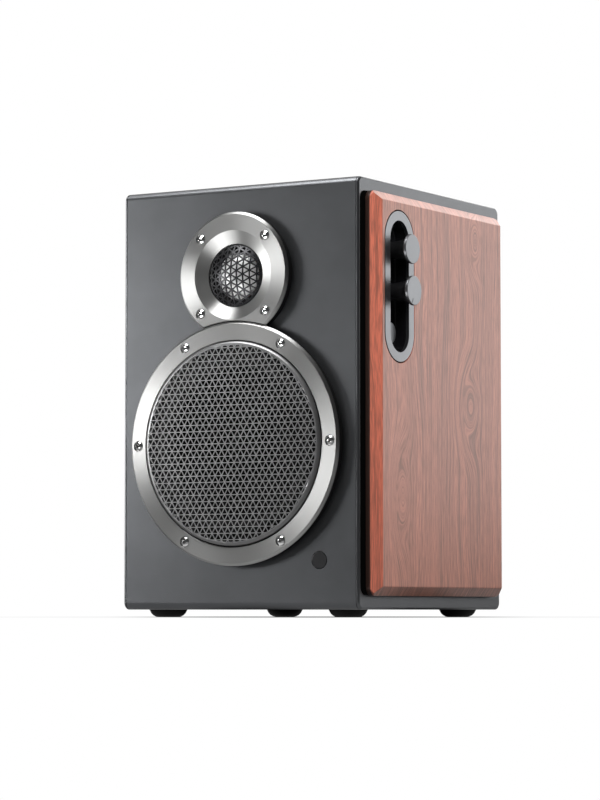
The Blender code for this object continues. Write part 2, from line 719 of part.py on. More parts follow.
def woofer_motor():
    """The woofer's voice coil, top plate, ring magnet and yoke."""
    coil = tube_profile(COIL_BORE, COIL_RADIUS, COIL_END, COIL_TOP)
    settled(as_part(ring_turned("woofer_voice_coil", coil, WOOFER, FACING_FRONT), COPPER))
    plate_top = BASKET_DEPTH - GAP
    plate_under = plate_top - MOTOR_PLATE
    plate = tube_profile(TOP_PLATE_BORE, MOTOR_PLATE_RADIUS, plate_under, plate_top)
    settled(as_part(ring_turned("woofer_top_plate", plate, WOOFER, FACING_FRONT), ZINC))
    magnet_top = plate_under - GAP
    magnet_under = magnet_top - MAGNET_LENGTH
    magnet = tube_profile(MAGNET_BORE, MAGNET_RADIUS, magnet_under, magnet_top)
    settled(as_part(ring_turned("woofer_magnet", magnet, WOOFER, FACING_FRONT), FERRITE))
    back = magnet_under - GAP
    yoke = [(0, POLE_TOP), (POLE_RADIUS, POLE_TOP), (POLE_RADIUS, back), (MOTOR_PLATE_RADIUS, back)]
    yoke += [(MOTOR_PLATE_RADIUS, back - MOTOR_PLATE), (0, back - MOTOR_PLATE)]
    settled(as_part(solid_turned("woofer_yoke", yoke, WOOFER, FACING_FRONT), ZINC))


def tweeter_face_plate():
    """The bright plate round the tweeter: a funnel in its middle and a bite for the woofer's ring."""
    profile = [
        (FACE_RADIUS - TRIM_CHAMFER, TRIM_TOP),
        (FACE_RADIUS, TRIM_TOP - TRIM_CHAMFER),
        (FACE_RADIUS, TRIM_UNDER),
        (TWEETER_BORE, TRIM_UNDER),
        (THROAT_RADIUS, THROAT_HEIGHT - 0.8 * MM),
        (THROAT_RADIUS, THROAT_HEIGHT),
        (FUNNEL_RADIUS, TRIM_TOP),
    ]
    plate = as_part(ring_turned("tweeter_face_plate", profile, TWEETER, FACING_FRONT, 40), STEEL)
    cut(plate, rod("ring_bite", FACE_CUT, 0, THROUGH, WOOFER, FACING_FRONT, 64))
    screw_holes(plate, FACE_SCREW_PLACES, 0, THROUGH)
    screw_sinks(plate, FACE_SCREW_PLACES)
    settled(plate)


def tweeter_grille():
    """The domed guard over the tweeter."""
    inner = MESH_RADIUS - MESH_WALL
    crown = cap_outer(TWEETER_REACH, MESH_RADIUS - 0.3 * MM, MESH_RISE, 4)
    under = cap_outer(TWEETER_REACH - MESH_THICK, inner, 0.94 * MESH_RISE, 4)
    rim = [(MESH_RADIUS, TWEETER_REACH - MESH_RISE), (MESH_RADIUS, MESH_FOOT), (inner, MESH_FOOT)]
    profile = crown + rim + under[::-1]
    settled(as_part(solid_turned("tweeter_grille", profile, TWEETER, FACING_FRONT, 24), BLACK_STEEL))


def tweeter_insides():
    """The tweeter's chassis, dome, surround, voice coil and motor."""
    wall = TWEETER_MOTOR_RADIUS + GAP
    chassis = [
        (TWEETER_BORE - GAP, CHASSIS_TOP),
        (TWEETER_BORE - GAP, GAP),
        (CHASSIS_RADIUS, GAP),
        (CHASSIS_RADIUS, CHASSIS_SKIRT),
        (wall, CHASSIS_SKIRT),
        (wall, CHASSIS_SEAT),
        (CHASSIS_BORE, CHASSIS_SEAT),
        (CHASSIS_BORE, CHASSIS_TOP),
    ]
    settled(as_part(ring_turned("tweeter_chassis", chassis, TWEETER, FACING_FRONT), BLACK_PLASTIC))
    dome = dome_shell(DOME_TOP, DOME_RADIUS, DOME_RISE, DOME_THICK, 4)
    settled(as_part(solid_turned("tweeter_dome", dome, TWEETER, FACING_FRONT, 24), SILVER))
    outside = arc(HALF_ROLL, ROLL_HEIGHT, HALF_ROLL_RISE, 180, 0, 3)
    inside = arc(HALF_ROLL, ROLL_HEIGHT, HALF_ROLL_RISE - HALF_ROLL_THICK, 0, 180, 3)
    settled(as_part(ring_turned("tweeter_surround", outside + inside, TWEETER, FACING_FRONT), RUBBER))
    coil = tube_profile(TWEETER_COIL_BORE, TWEETER_COIL_RADIUS, TWEETER_COIL_END, TWEETER_COIL_TOP)
    settled(as_part(ring_turned("tweeter_voice_coil", coil, TWEETER, FACING_FRONT), COPPER))
    back = TWEETER_MOTOR_TOP - TWEETER_MOTOR_LENGTH
    motor = [(0, TWEETER_MOTOR_TOP), (TWEETER_POLE, TWEETER_MOTOR_TOP), (TWEETER_POLE, TWEETER_SLOT_FLOOR)]
    motor += [(TWEETER_SLOT_RADIUS, TWEETER_SLOT_FLOOR), (TWEETER_SLOT_RADIUS, TWEETER_MOTOR_TOP)]
    motor += [(TWEETER_MOTOR_RADIUS, TWEETER_MOTOR_TOP), (TWEETER_MOTOR_RADIUS, back), (0, back)]
    settled(as_part(solid_turned("tweeter_motor", motor, TWEETER, FACING_FRONT), FERRITE))


def front_screw(name, place):
    """A domed screw with a hexagonal socket."""
    seat = TRIM_TOP - SINK_DEPTH + GAP
    crown = [(0, SCREW_DOME), (0.55, 0.94 * SCREW_DOME), (0.85, 0.7 * SCREW_DOME), (1, 0.3 * SCREW_DOME)]
    head = [(radius * SCREW_HEAD, seat + height) for radius, height in crown]
    tip = seat - SCREW_LENGTH
    shank = [(SCREW_HEAD, seat), (SCREW_SHANK, seat), (SCREW_SHANK, tip), (0, tip)]
    screw = as_part(solid_turned(name, head + shank, place, FACING_FRONT, 10), ZINC)
    cut(screw, rod(f"{name}_socket", SOCKET_RADIUS, seat + 0.2 * MM, seat + WALL, place, FACING_FRONT, 6))
    settled(screw)


def front_screws():
    """Six screws in the woofer's ring and four in the tweeter's plate."""
    for i, place in enumerate(TRIM_SCREW_PLACES):
        front_screw(f"woofer_screw_{i + 1}", place)
    for i, place in enumerate(FACE_SCREW_PLACES):
        front_screw(f"tweeter_screw_{i + 1}", place)


def ir_window():
    """The smoked window over the remote control's receiver."""
    place = (WINDOW_X, FRONT, WINDOW_Z)
    settled(as_part(rod("ir_window", WINDOW_RADIUS, -WINDOW_DEPTH, 0, place, FACING_FRONT, 24), SMOKED))


def control_bezel():
    """The metal surround of the control slot."""
    place = (SIDE, SLOT_Y, SLOT_Z)
    length = SLOT_LENGTH - 2 * GAP
    width = SLOT_WIDTH - 2 * GAP
    shape = stadium("control_bezel", length, width, BEZEL_UNDER, BEZEL_TOP, place, FACING_RIGHT)
    bezel = as_part(shape, SILVER)
    cut(bezel, stadium("bezel_mouth", MOUTH_LENGTH, MOUTH_WIDTH, 0, 3 * WALL, place, FACING_RIGHT))
    settled(bezel)


def control_tray():
    """The dark tray behind the bezel, with a hole for each shaft."""
    place = (SIDE, SLOT_Y, SLOT_Z)
    top = BEZEL_UNDER - GAP
    inner = (MOUTH_LENGTH + GAP, MOUTH_WIDTH + GAP)
    cup = [side + 2 * TRAY_WALL for side in inner]
    shape = stadium("control_tray", *cup, TRAY_UNDER, top, place, FACING_RIGHT)
    tray = as_part(shape, BLACK_PLASTIC)
    rim = (SLOT_LENGTH - 4 * GAP, SLOT_WIDTH - 4 * GAP)
    join(tray, stadium("tray_flange", *rim, top - TRAY_FLANGE, top, place, FACING_RIGHT))
    cut(tray, stadium("tray_pocket", *inner, TRAY_FLOOR, 3 * WALL, place, FACING_RIGHT))
    knob_holes = (("volume", VOLUME_Z, BUSH_RADIUS), ("tone", TONE_Z, BUSH_RADIUS))
    for name, z, radius in (*knob_holes, ("select", SELECT_Z, STEM_RADIUS)):
        hole = (SIDE, SLOT_Y, z)
        cut(tray, rod(f"tray_{name}_hole", radius + GAP, -THROUGH, WALL, hole, FACING_RIGHT))
    settled(tray)


def knob(name, z, top):
    """A disc-headed knob on a flared neck, bored for its shaft."""
    foot_height = 1 * MM
    shoulder = top - KNOB_CAP
    edge = 0.35 * MM
    flare = [(0.9, 0.97), (0.72, 0.8), (0.6, 0.5), (0.55, 0)]
    neck = [(radius * KNOB_RADIUS, foot_height + rise * (shoulder - foot_height)) for radius, rise in flare]
    bore = SHAFT_RADIUS + GAP
    ceiling = SHAFT_TOP + 0.4 * MM
    profile = [(0, top), (KNOB_RADIUS - edge, top), (KNOB_RADIUS, top - edge), (KNOB_RADIUS, shoulder)]
    profile += neck + [(bore, foot_height), (bore, ceiling), (0, ceiling)]
    settled(as_part(solid_turned(name, profile, (SIDE, SLOT_Y, z), FACING_RIGHT, 24), SILVER))


def encoder(name, z):
    """A rotary encoder: a square body on the board, a threaded bush and a shaft."""
    body_top = TRAY_UNDER - GAP
    board_top = BOARD_UNDER + BOARD_THICK
    place = (SIDE, SLOT_Y, z)
    size = (ENCODER_SIZE, ENCODER_SIZE)
    part = as_part(block(name, *size, board_top + GAP, body_top, place, FACING_RIGHT), ZINC)
    profile = [(0, SHAFT_TOP), (SHAFT_RADIUS, SHAFT_TOP), (SHAFT_RADIUS, BUSH_TOP), (BUSH_RADIUS, BUSH_TOP)]
    profile += [(BUSH_RADIUS, body_top - MM), (0, body_top - MM)]
    join(part, solid_turned(f"{name}_shaft", profile, place, FACING_RIGHT, 16))
    settled(part)


def select_button():
    """The round push button below the knobs, with a stem through the tray."""
    under = SELECT_TOP - SELECT_THICK
    edge = 0.4 * MM
    profile = [(0, SELECT_TOP), (SELECT_RADIUS - edge, SELECT_TOP), (SELECT_RADIUS, SELECT_TOP - edge)]
    profile += [(SELECT_RADIUS, under), (STEM_RADIUS, under), (STEM_RADIUS, STEM_END), (0, STEM_END)]
    place = (SIDE, SLOT_Y, SELECT_Z)
    settled(as_part(solid_turned("select_button", profile, place, FACING_RIGHT), SILVER))


def control_electronics():
    """The button's switch and the board that carries the controls."""
    board_top = BOARD_UNDER + BOARD_THICK
    place = (SIDE, SLOT_Y, SELECT_Z)
    size = (SWITCH_SIZE, SWITCH_SIZE)
    switch = block("button_switch", *size, board_top + GAP, SWITCH_TOP, place, FACING_RIGHT)
    settled(as_part(switch, BLACK_PLASTIC))
    place = (SIDE, SLOT_Y, SLOT_Z)
    board = block("control_board", BOARD_LENGTH, BOARD_WIDTH, BOARD_UNDER, board_top, place, FACING_RIGHT)
    settled(as_part(board, GREEN_BOARD))


def rear_panel():
    """The steel connection panel let into the back."""
    back = (0, BACK, PANEL_Z)
    size = (PANEL_WIDTH, PANEL_HEIGHT)
    panel = block("rear_panel", *size, -PANEL_THICK, 0, back, FACING_BACK, PANEL_CORNER)
    panel = as_part(panel, BLACK_STEEL)
    cut(panel, rod("panel_port_hole", PORT_TUBE + GAP, -WALL, WALL, (0, BACK, PORT_Z), FACING_BACK, 32))
    for i, x in enumerate(SOCKET_X):
        place = (x, BACK, SOCKETS_Z)
        cut(panel, rod(f"panel_socket_hole_{i + 1}", SOCKET_STEM + GAP, -WALL, WALL, place, FACING_BACK))
    place = (TERMINALS_X, BACK, SOCKETS_Z)
    size = [side + MM for side in TERMINAL_SIZE]
    cut(panel, block("panel_terminal_hole", *size, -WALL, WALL, place, FACING_BACK))
    place = (0, BACK, INLET_Z)
    size = [side + MM for side in INLET_SIZE]
    cut(panel, block("panel_inlet_hole", *size, -WALL, WALL, place, FACING_BACK))
    settled(panel)


def port_tube():
    """The bass reflex port: a tube with a flared mouth."""
    profile = [
        (PORT_FLANGE - 1.5 * MM, PORT_RISE),
        (PORT_FLANGE, PORT_RISE - 0.6 * MM),
        (PORT_FLANGE, GAP),
        (PORT_TUBE, GAP),
        (PORT_TUBE, -PORT_LENGTH),
        (PORT_BORE, -PORT_LENGTH),
        (PORT_BORE, PORT_RISE - 5.2 * MM),
        (PORT_BORE + 0.8 * MM, PORT_RISE - 2.6 * MM),
        (PORT_BORE + 2.6 * MM, PORT_RISE - 0.8 * MM),
    ]
    settled(as_part(ring_turned("port_tube", profile, (0, BACK, PORT_Z), FACING_BACK, 32), BLACK_PLASTIC))


def input_sockets():
    """The pair of phono sockets."""
    profile = [(0, SOCKET_END), (SOCKET_BARREL, SOCKET_END), (SOCKET_BARREL, SOCKET_FLANGE_TOP)]
    profile += [(SOCKET_FLANGE, SOCKET_FLANGE_TOP), (SOCKET_FLANGE, GAP), (SOCKET_STEM, GAP)]
    profile += [(SOCKET_STEM, -SOCKET_DEPTH), (0, -SOCKET_DEPTH)]
    colours = (("red", RED_PLASTIC), ("white", WHITE_PLASTIC))
    for (colour, sort), x in zip(colours, SOCKET_X):
        place = (x, BACK, SOCKETS_Z)
        name = f"input_socket_{colour}"
        socket = as_part(solid_turned(name, profile, place, FACING_BACK, 16), sort)
        bore = rod(f"{name}_bore", SOCKET_BORE, SOCKET_FLANGE_TOP, 3 * WALL, place, FACING_BACK, 12)
        cut(socket, bore)
        settled(socket)


def speaker_terminals():
    """The spring terminal block for the second speaker, with its two levers."""
    place = (TERMINALS_X, BACK, SOCKETS_Z)
    heights = (GAP, TERMINAL_FACE)
    body = block("terminal_block", *TERMINAL_FLANGE, *heights, place, FACING_BACK, FLANGE_CORNER)
    body = as_part(body, BLACK_PLASTIC)
    join(body, block("terminal_body", *TERMINAL_SIZE, -TERMINAL_DEPTH, GAP + MM, place, FACING_BACK))
    for colour, sort, side in (("red", RED_PLASTIC, -1), ("black", BLACK_PLASTIC, 1)):
        x = TERMINALS_X + side * TERMINAL_PITCH / 2
        hole = (x, BACK, SOCKETS_Z - WIRE_HOLE_DROP)
        heights = (-WIRE_HOLE_DEPTH, WALL)
        cut(body, rod(f"wire_hole_{colour}", WIRE_HOLE_RADIUS, *heights, hole, FACING_BACK, 12))
        terminal_lever(colour, sort, x)
    settled(body)


def terminal_lever(colour, sort, x):
    """One spring lever, pivoted near its foot on an axis across the speaker."""
    name = f"terminal_lever_{colour}"
    pivot = (x, BACK + LEVER_PIVOT, SOCKETS_Z + LEVER_RISE)
    foot_height = -MM
    tip = LEVER_REACH - LEVER_PIVOT
    lever = block(name, *LEVER_SIZE, foot_height, tip, pivot, FACING_BACK, LEVER_CORNER, 2)
    settled(as_part(lever, sort))


def mains_inlet():
    """The two-pin mains inlet and the well of the power switch beside it."""
    place = (0, BACK, INLET_Z)
    module = block("mains_inlet", *INLET_FLANGE, GAP, INLET_FACE, place, FACING_BACK, FLANGE_CORNER)
    module = as_part(module, BLACK_PLASTIC)
    join(module, block("inlet_body", *INLET_SIZE, -INLET_DEPTH, GAP + MM, place, FACING_BACK))
    socket = (INLET_PIN_X, BACK, INLET_Z)
    cut(module, stadium("inlet_socket", *INLET_SOCKET, -INLET_SOCKET_DEPTH, WALL, socket, FACING_BACK))
    well = (ROCKER_X, BACK, INLET_Z)
    cut(module, block("rocker_well", *ROCKER_WELL, -ROCKER_WELL_DEPTH, WALL, well, FACING_BACK))
    settled(module)
    pivot = (ROCKER_X, BACK + ROCKER_PIVOT, INLET_Z)
    rocker = block("power_rocker", *ROCKER_SIZE, ROCKER_UNDER, ROCKER_TOP, pivot, FACING_BACK)
    rocker.rotation_euler.rotate_axis("X", ROCKER_TILT)
    settled(as_part(rocker, BLACK_PLASTIC))


def amplifier():
    """The amplifier board behind the panel, its finned heat sink and the transformer."""
    board_back = BACK - AMP_SETBACK
    place = (0, board_back, AMP_BOARD_Z)
    board = block("amp_board", *AMP_BOARD_SIZE, -BOARD_THICK, 0, place, FACING_BACK)
    settled(as_part(board, GREEN_BOARD))
    sink_top = -BOARD_THICK - GAP
    base_under = sink_top - SINK_BASE
    place = (0, board_back, SINK_Z)
    sink = as_part(block("heat_sink", *SINK_SIZE, base_under, sink_top, place, FACING_BACK), SILVER)
    fin_size = (FIN_THICK, SINK_SIZE[1])
    fin_heights = (base_under - FIN_HEIGHT, base_under + MM)
    for i in range(FINS):
        fin_place = ((i - (FINS - 1) / 2) * FIN_PITCH, board_back, SINK_Z)
        join(sink, block(f"fin_{i + 1}", *fin_size, *fin_heights, fin_place, FACING_BACK))
    settled(sink)
    place = (0, CORE_Y, FOOT_HEIGHT + WALL)
    core = as_part(block("transformer", *CORE_SIZE, GAP, CORE_HEIGHT, place, UPRIGHT), FERRITE)
    heights = (WINDING_UNDER, WINDING_TOP)
    join(core, block("transformer_winding", *WINDING_SIZE, *heights, place, UPRIGHT, WINDING_CORNER))
    settled(core)


def cabinet():
    """The box that everything else is fitted to."""
    cabinet_sleeve()
    side_plates()
    cheeks()
    feet()
    ir_window()


def woofer():
    """The woofer and what holds and guards it."""
    driver_base()
    woofer_trim_ring()
    woofer_grille()
    woofer_basket()
    woofer_surround()
    woofer_cone()
    woofer_dust_cap()
    woofer_spider()
    woofer_motor()


def tweeter():
    """The tweeter behind its face plate and guard."""
    tweeter_face_plate()
    tweeter_grille()
    tweeter_insides()


def controls():
    """The slot in the right cheek with its two knobs and its button."""
    control_bezel()
    control_tray()
    knob("knob_volume", VOLUME_Z, VOLUME_TOP)
    knob("knob_tone", TONE_Z, TONE_TOP)
    encoder("encoder_volume", VOLUME_Z)
    encoder("encoder_tone", TONE_Z)
    select_button()
    control_electronics()


def back():
    """The connection panel and the electronics behind it."""
    rear_panel()
    port_tube()
    input_sockets()
    speaker_terminals()
    mains_inlet()
    amplifier()


cabinet()
woofer()
tweeter()
front_screws()
controls()
back()
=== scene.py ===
"""Looks of a powered two-way desktop speaker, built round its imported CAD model.

Each sub-assembly is a class that reads its sizes from the CAD nodes, models its pieces with bmesh
operators and dresses them. A piece is modelled in a local frame whose +Z points out of the face of
the cabinet that it is fitted to, and is then set in place in its mesh. Metres throughout.
"""

import logging
import math
from dataclasses import dataclass, field
from enum import Enum
from typing import Callable, Iterable, Optional, Sequence

import bmesh
import bpy
from mathutils import Euler, Matrix, Vector


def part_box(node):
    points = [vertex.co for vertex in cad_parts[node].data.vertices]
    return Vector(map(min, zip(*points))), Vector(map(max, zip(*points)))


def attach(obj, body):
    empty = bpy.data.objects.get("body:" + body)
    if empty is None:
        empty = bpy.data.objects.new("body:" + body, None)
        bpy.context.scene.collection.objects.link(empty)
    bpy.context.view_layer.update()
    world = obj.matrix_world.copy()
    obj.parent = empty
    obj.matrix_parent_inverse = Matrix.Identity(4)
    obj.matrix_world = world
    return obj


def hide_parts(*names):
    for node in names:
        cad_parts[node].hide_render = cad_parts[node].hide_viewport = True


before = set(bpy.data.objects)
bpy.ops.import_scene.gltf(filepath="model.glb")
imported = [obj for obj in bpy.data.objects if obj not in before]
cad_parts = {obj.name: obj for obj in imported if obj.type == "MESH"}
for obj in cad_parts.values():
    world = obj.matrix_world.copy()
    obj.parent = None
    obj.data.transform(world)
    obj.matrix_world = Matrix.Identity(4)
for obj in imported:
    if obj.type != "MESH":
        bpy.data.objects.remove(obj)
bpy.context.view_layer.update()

LOG = logging.getLogger("desktop_speaker")
MM = 0.001
WELD = 1e-6
SHARP = math.radians(34)
OVERSHOOT = 1 * MM
SCREW_BORE = 1.8 * MM
WOOFER_SCREWS = [f"woofer_screw_{number}" for number in range(1, 7)]
TWEETER_SCREWS = [f"tweeter_screw_{number}" for number in range(1, 5)]
SCREWS = WOOFER_SCREWS + TWEETER_SCREWS

Colour = tuple[float, float, float]
Place = tuple[float, float, float]
Point = tuple[float, float]
EdgeTest = Callable[[bmesh.types.BMEdge], bool]


class Face(Enum):
    """A side of the cabinet, as the turn that points a piece's own +Z out of it."""

    FRONT = (math.pi / 2, 0.0, 0.0)
    BACK = (-math.pi / 2, 0.0, 0.0)
    RIGHT = (0.0, math.pi / 2, 0.0)
    LEFT = (0.0, -math.pi / 2, 0.0)
    BOTTOM = (math.pi, 0.0, 0.0)

    def turn(self) -> Matrix:
        """The turn as a matrix."""
        return Euler(self.value).to_matrix()

    def outward(self) -> Vector:
        """The direction out of this face."""
        return self.turn() @ Vector((0, 0, 1))

    def datum(self) -> Vector:
        """A point on the flat face that pieces on this side are fitted to."""
        node = {
            Face.FRONT: "cabinet_sleeve",
            Face.BACK: "rear_panel",
            Face.RIGHT: "side_plate_right",
            Face.LEFT: "side_plate_left",
            Face.BOTTOM: "cabinet_sleeve",
        }[self]
        low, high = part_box(node)
        middle = (low + high) / 2
        reach = (high - low).dot(Vector([abs(v) for v in self.outward()])) / 2
        return middle + self.outward() * reach


@dataclass(frozen=True)
class Site:
    """A spot on one face of the cabinet, with its own frame.

    Attributes:
        face: The side of the cabinet.
        place: The spot, on that side's flat face.
    """

    face: Face
    place: Vector

    @classmethod
    def at(cls, node: str, face: Face) -> "Site":
        """The spot on a face that lies over the middle of a CAD node.

        Args:
            node: The CAD node's name.
            face: The side of the cabinet.

        Returns:
            The site.
        """
        low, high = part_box(node)
        middle = (low + high) / 2
        outward = face.outward()
        return cls(face, middle + outward * outward.dot(face.datum() - middle))

    def shifted(self, right: float, up: float) -> "Site":
        """The site moved in its face: along the piece's own X and Y."""
        return Site(self.face, self.place + self.face.turn() @ Vector((right, up, 0)))

    def frame(self) -> Matrix:
        """The matrix that sets a piece down on this site."""
        return Matrix.Translation(self.place) @ self.face.turn().to_4x4()

    def reach(self, node: str) -> tuple[float, float]:
        """How far a CAD node's near and far ends stand out of the face.

        Args:
            node: The CAD node's name.

        Returns:
            The near end and the far end, outwards from the face.
        """
        outward = self.face.outward()
        ends = sorted(outward.dot(corner - self.place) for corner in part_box(node))
        return ends[0], ends[1]

    def extent(self, node: str) -> tuple[float, float]:
        """A CAD node's full size along this site's own X and Y.

        Args:
            node: The CAD node's name.

        Returns:
            The size along X and the size along Y.
        """
        low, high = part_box(node)
        size = self.face.turn().transposed() @ (high - low)
        return abs(size.x), abs(size.y)


def seat(node: str, face: Face) -> tuple[Site, float, float, float]:
    """Where a round CAD node sits on a face.

    Args:
        node: The CAD node's name.
        face: The side of the cabinet.

    Returns:
        Its site, its near end, its far end and its radius.
    """
    site = Site.at(node, face)
    return site, *site.reach(node), site.extent(node)[0] / 2


@dataclass(frozen=True)
class Corner:
    """One corner of a turned profile.

    Attributes:
        radius: How far it is from the axis.
        height: How high it is.
        fillet: The radius that it is rounded to.
    """

    radius: float
    height: float
    fillet: float = 0.0


def rounded(corners: Sequence[Corner], ring: bool = False, steps: int = 5) -> list[Point]:
    """Turn a profile's corners into points, with an arc at each rounded one.

    Args:
        corners: The corners, down the outer side, and back up the inner side of a ring.
        ring: Whether the last corner joins the first.
        steps: The straight pieces in each arc.

    Returns:
        The points as (radius, height).
    """
    points: list[Point] = []
    count = len(corners)
    for index, corner in enumerate(corners):
        here = Vector((corner.radius, corner.height))
        ends = not ring and index in (0, count - 1)
        if corner.fillet == 0.0 or ends:
            points.append((here.x, here.y))
            continue
        before = corners[index - 1]
        after = corners[(index + 1) % count]
        back = (Vector((before.radius, before.height)) - here).normalized()
        ahead = (Vector((after.radius, after.height)) - here).normalized()
        half = back.angle(ahead) / 2
        centre = here + (back + ahead).normalized() * corner.fillet / math.sin(half)
        start = here + back * corner.fillet / math.tan(half) - centre
        end = here + ahead * corner.fillet / math.tan(half) - centre
        swing = math.atan2(start.x * end.y - start.y * end.x, start.dot(end))
        for step in range(steps + 1):
            point = centre + Matrix.Rotation(swing * step / steps, 2) @ start
            points.append((point.x, point.y))
    return points


def cap_points(crown: float, rim: float, rise: float, steps: int = 12) -> list[Point]:
    """Profile of a spherical cap from its crown to its rim.

    Args:
        crown: Height of the crown.
        rim: Radius of the rim.
        rise: Height of the crown over the rim.
        steps: The straight pieces in the arc.

    Returns:
        The points as (radius, height).
    """
    ball = (rim**2 + rise**2) / (2 * rise)
    last = math.asin(rim / ball)
    angles = [last * step / steps for step in range(steps + 1)]
    return [(ball * math.sin(a), crown - ball + ball * math.cos(a)) for a in angles]


def arch_points(middle: float, radius: float, foot: float, steps: int) -> list[Point]:
    """Profile of a half roll, from its outer foot over to its inner foot.

    Args:
        middle: Radius of the ring that the roll follows.
        radius: Radius of the roll itself.
        foot: Height of its feet.
        steps: The straight pieces in the arc.

    Returns:
        The points as (radius, height).
    """
    angles = [math.pi * step / steps for step in range(steps + 1)]
    return [(middle + radius * math.cos(a), foot + radius * math.sin(a)) for a in angles]


def in_mm(points: Iterable[Point], lift: float = 0.0) -> list[Point]:
    """Profile points given in millimetres, lifted by a height in metres."""
    return [(radius * MM, lift + height * MM) for radius, height in points]


def upright(edge: bmesh.types.BMEdge) -> bool:
    """Whether an edge runs along Z."""
    return abs((edge.verts[0].co - edge.verts[1].co).normalized().z) > 0.999


def level(height: float) -> EdgeTest:
    """A test for edges that lie at a height."""

    def lies(edge: bmesh.types.BMEdge) -> bool:
        """Whether both ends are at that height."""
        return all(abs(vert.co.z - height) < WELD for vert in edge.verts)

    return lies


class Shape:
    """A bmesh being worked on, in a piece's own frame."""

    def __init__(self) -> None:
        """Start with an empty bmesh."""
        self.mesh = bmesh.new()

    @classmethod
    def turned(cls, profile: Sequence[Point], segments: int = 96, ring: bool = False) -> "Shape":
        """Spin a profile round the Z axis.

        Args:
            profile: The points as (radius, height).
            segments: The flats round the piece.
            ring: Whether the profile closes on itself.

        Returns:
            The turned shape.
        """
        shape = cls()
        verts = [shape.mesh.verts.new((radius, 0, height)) for radius, height in profile]
        following = verts[1:] + verts[:1] if ring else verts[1:]
        edges = [shape.mesh.edges.new(pair) for pair in zip(verts, following)]
        bmesh.ops.spin(
            shape.mesh,
            geom=verts + edges,
            cent=(0, 0, 0),
            axis=(0, 0, 1),
            angle=2 * math.pi,
            steps=segments,
            use_merge=True,
        )
        return shape.closed()

    @classmethod
    def lathed(
        cls, corners: Sequence[Corner], segments: int = 96, ring: bool = False, steps: int = 5
    ) -> "Shape":
        """Spin a profile with rounded corners round the Z axis.

        Args:
            corners: The profile's corners.
            segments: The flats round the piece.
            ring: Whether the profile closes on itself.
            steps: The straight pieces in each rounded corner.

        Returns:
            The turned shape.
        """
        return cls.turned(rounded(corners, ring, steps), segments, ring)

    @classmethod
    def prism(cls, radius: float, low: float, high: float, segments: int = 48) -> "Shape":
        """A round bar between two heights."""
        shape = cls()
        bmesh.ops.create_cone(
            shape.mesh,
            cap_ends=True,
            segments=segments,
            radius1=radius,
            radius2=radius,
            depth=high - low,
            matrix=Matrix.Translation((0, 0, (low + high) / 2)),
        )
        return shape

    @classmethod
    def block(cls, width: float, length: float, low: float, high: float) -> "Shape":
        """A box between two heights, centred on the Z axis."""
        shape = cls()
        size = Matrix.Diagonal((width, length, high - low, 1))
        place = Matrix.Translation((0, 0, (low + high) / 2))
        bmesh.ops.create_cube(shape.mesh, size=1, matrix=place @ size)
        return shape

    @classmethod
    def stadium(
        cls, length: float, width: float, low: float, high: float, segments: int = 64
    ) -> "Shape":
        """A prism with round ends, long along its own X axis.

        Args:
            length: The whole length.
            width: The width, and twice the radius of the ends.
            low: The lower face's height.
            high: The upper face's height.
            segments: The flats in both ends together.

        Returns:
            The prism.
        """
        half_step = math.pi / segments
        shape = cls.prism(width / 2 / math.cos(half_step), low, high, segments)
        shape.spun(half_step)
        for vert in shape.mesh.verts:
            vert.co.x += math.copysign((length - width) / 2, vert.co.x)
        return shape

    def closed(self) -> "Shape":
        """Merge doubles, drop what collapsed and point the faces outwards."""
        bmesh.ops.remove_doubles(self.mesh, verts=self.mesh.verts, dist=WELD)
        bmesh.ops.dissolve_degenerate(self.mesh, edges=self.mesh.edges, dist=WELD / 10)
        bmesh.ops.recalc_face_normals(self.mesh, faces=self.mesh.faces)
        return self

    def bevelled(self, test: EdgeTest, width: float, segments: int = 4) -> "Shape":
        """Round or chamfer the edges that pass a test.

        Args:
            test: Says which edges are bevelled.
            width: The bevel's width.
            segments: 1 for a chamfer, more for a round.

        Returns:
            The shape itself.
        """
        bmesh.ops.bevel(
            self.mesh,
            geom=[edge for edge in self.mesh.edges if test(edge)],
            offset=width,
            offset_type="OFFSET",
            affect="EDGES",
            segments=segments,
            profile=0.5,
            material=-1,
        )
        return self

    def moved(self, x: float = 0.0, y: float = 0.0, z: float = 0.0) -> "Shape":
        """Shift the whole shape."""
        bmesh.ops.translate(self.mesh, vec=(x, y, z), verts=self.mesh.verts)
        return self

    def spun(self, angle: float) -> "Shape":
        """Turn the whole shape about its Z axis."""
        turn = Matrix.Rotation(angle, 3, "Z")
        bmesh.ops.rotate(self.mesh, cent=(0, 0, 0), matrix=turn, verts=self.mesh.verts)
        return self

    def as_object(self, name: str, site: Site) -> bpy.types.Object:
        """Set the shape down on a site and link it to the scene.

        Args:
            name: The object's name.
            site: Where it goes.

        Returns:
            The object, at the origin, with its place in its mesh.
        """
        bmesh.ops.transform(self.mesh, matrix=site.frame(), verts=self.mesh.verts)
        return self.linked(name)

    def linked(self, name: str) -> bpy.types.Object:
        """Link the shape to the scene as it stands."""
        mesh = bpy.data.meshes.new(name)
        self.mesh.to_mesh(mesh)
        self.mesh.free()
        made = bpy.data.objects.new(name, mesh)
        bpy.context.scene.collection.objects.link(made)
        return made


def settle(made: bpy.types.Object) -> None:
    """Replace an object's modifiers by the mesh they give."""
    graph = bpy.context.evaluated_depsgraph_get()
    mesh = bpy.data.meshes.new_from_object(made.evaluated_get(graph))
    made.modifiers.clear()
    made.data = mesh


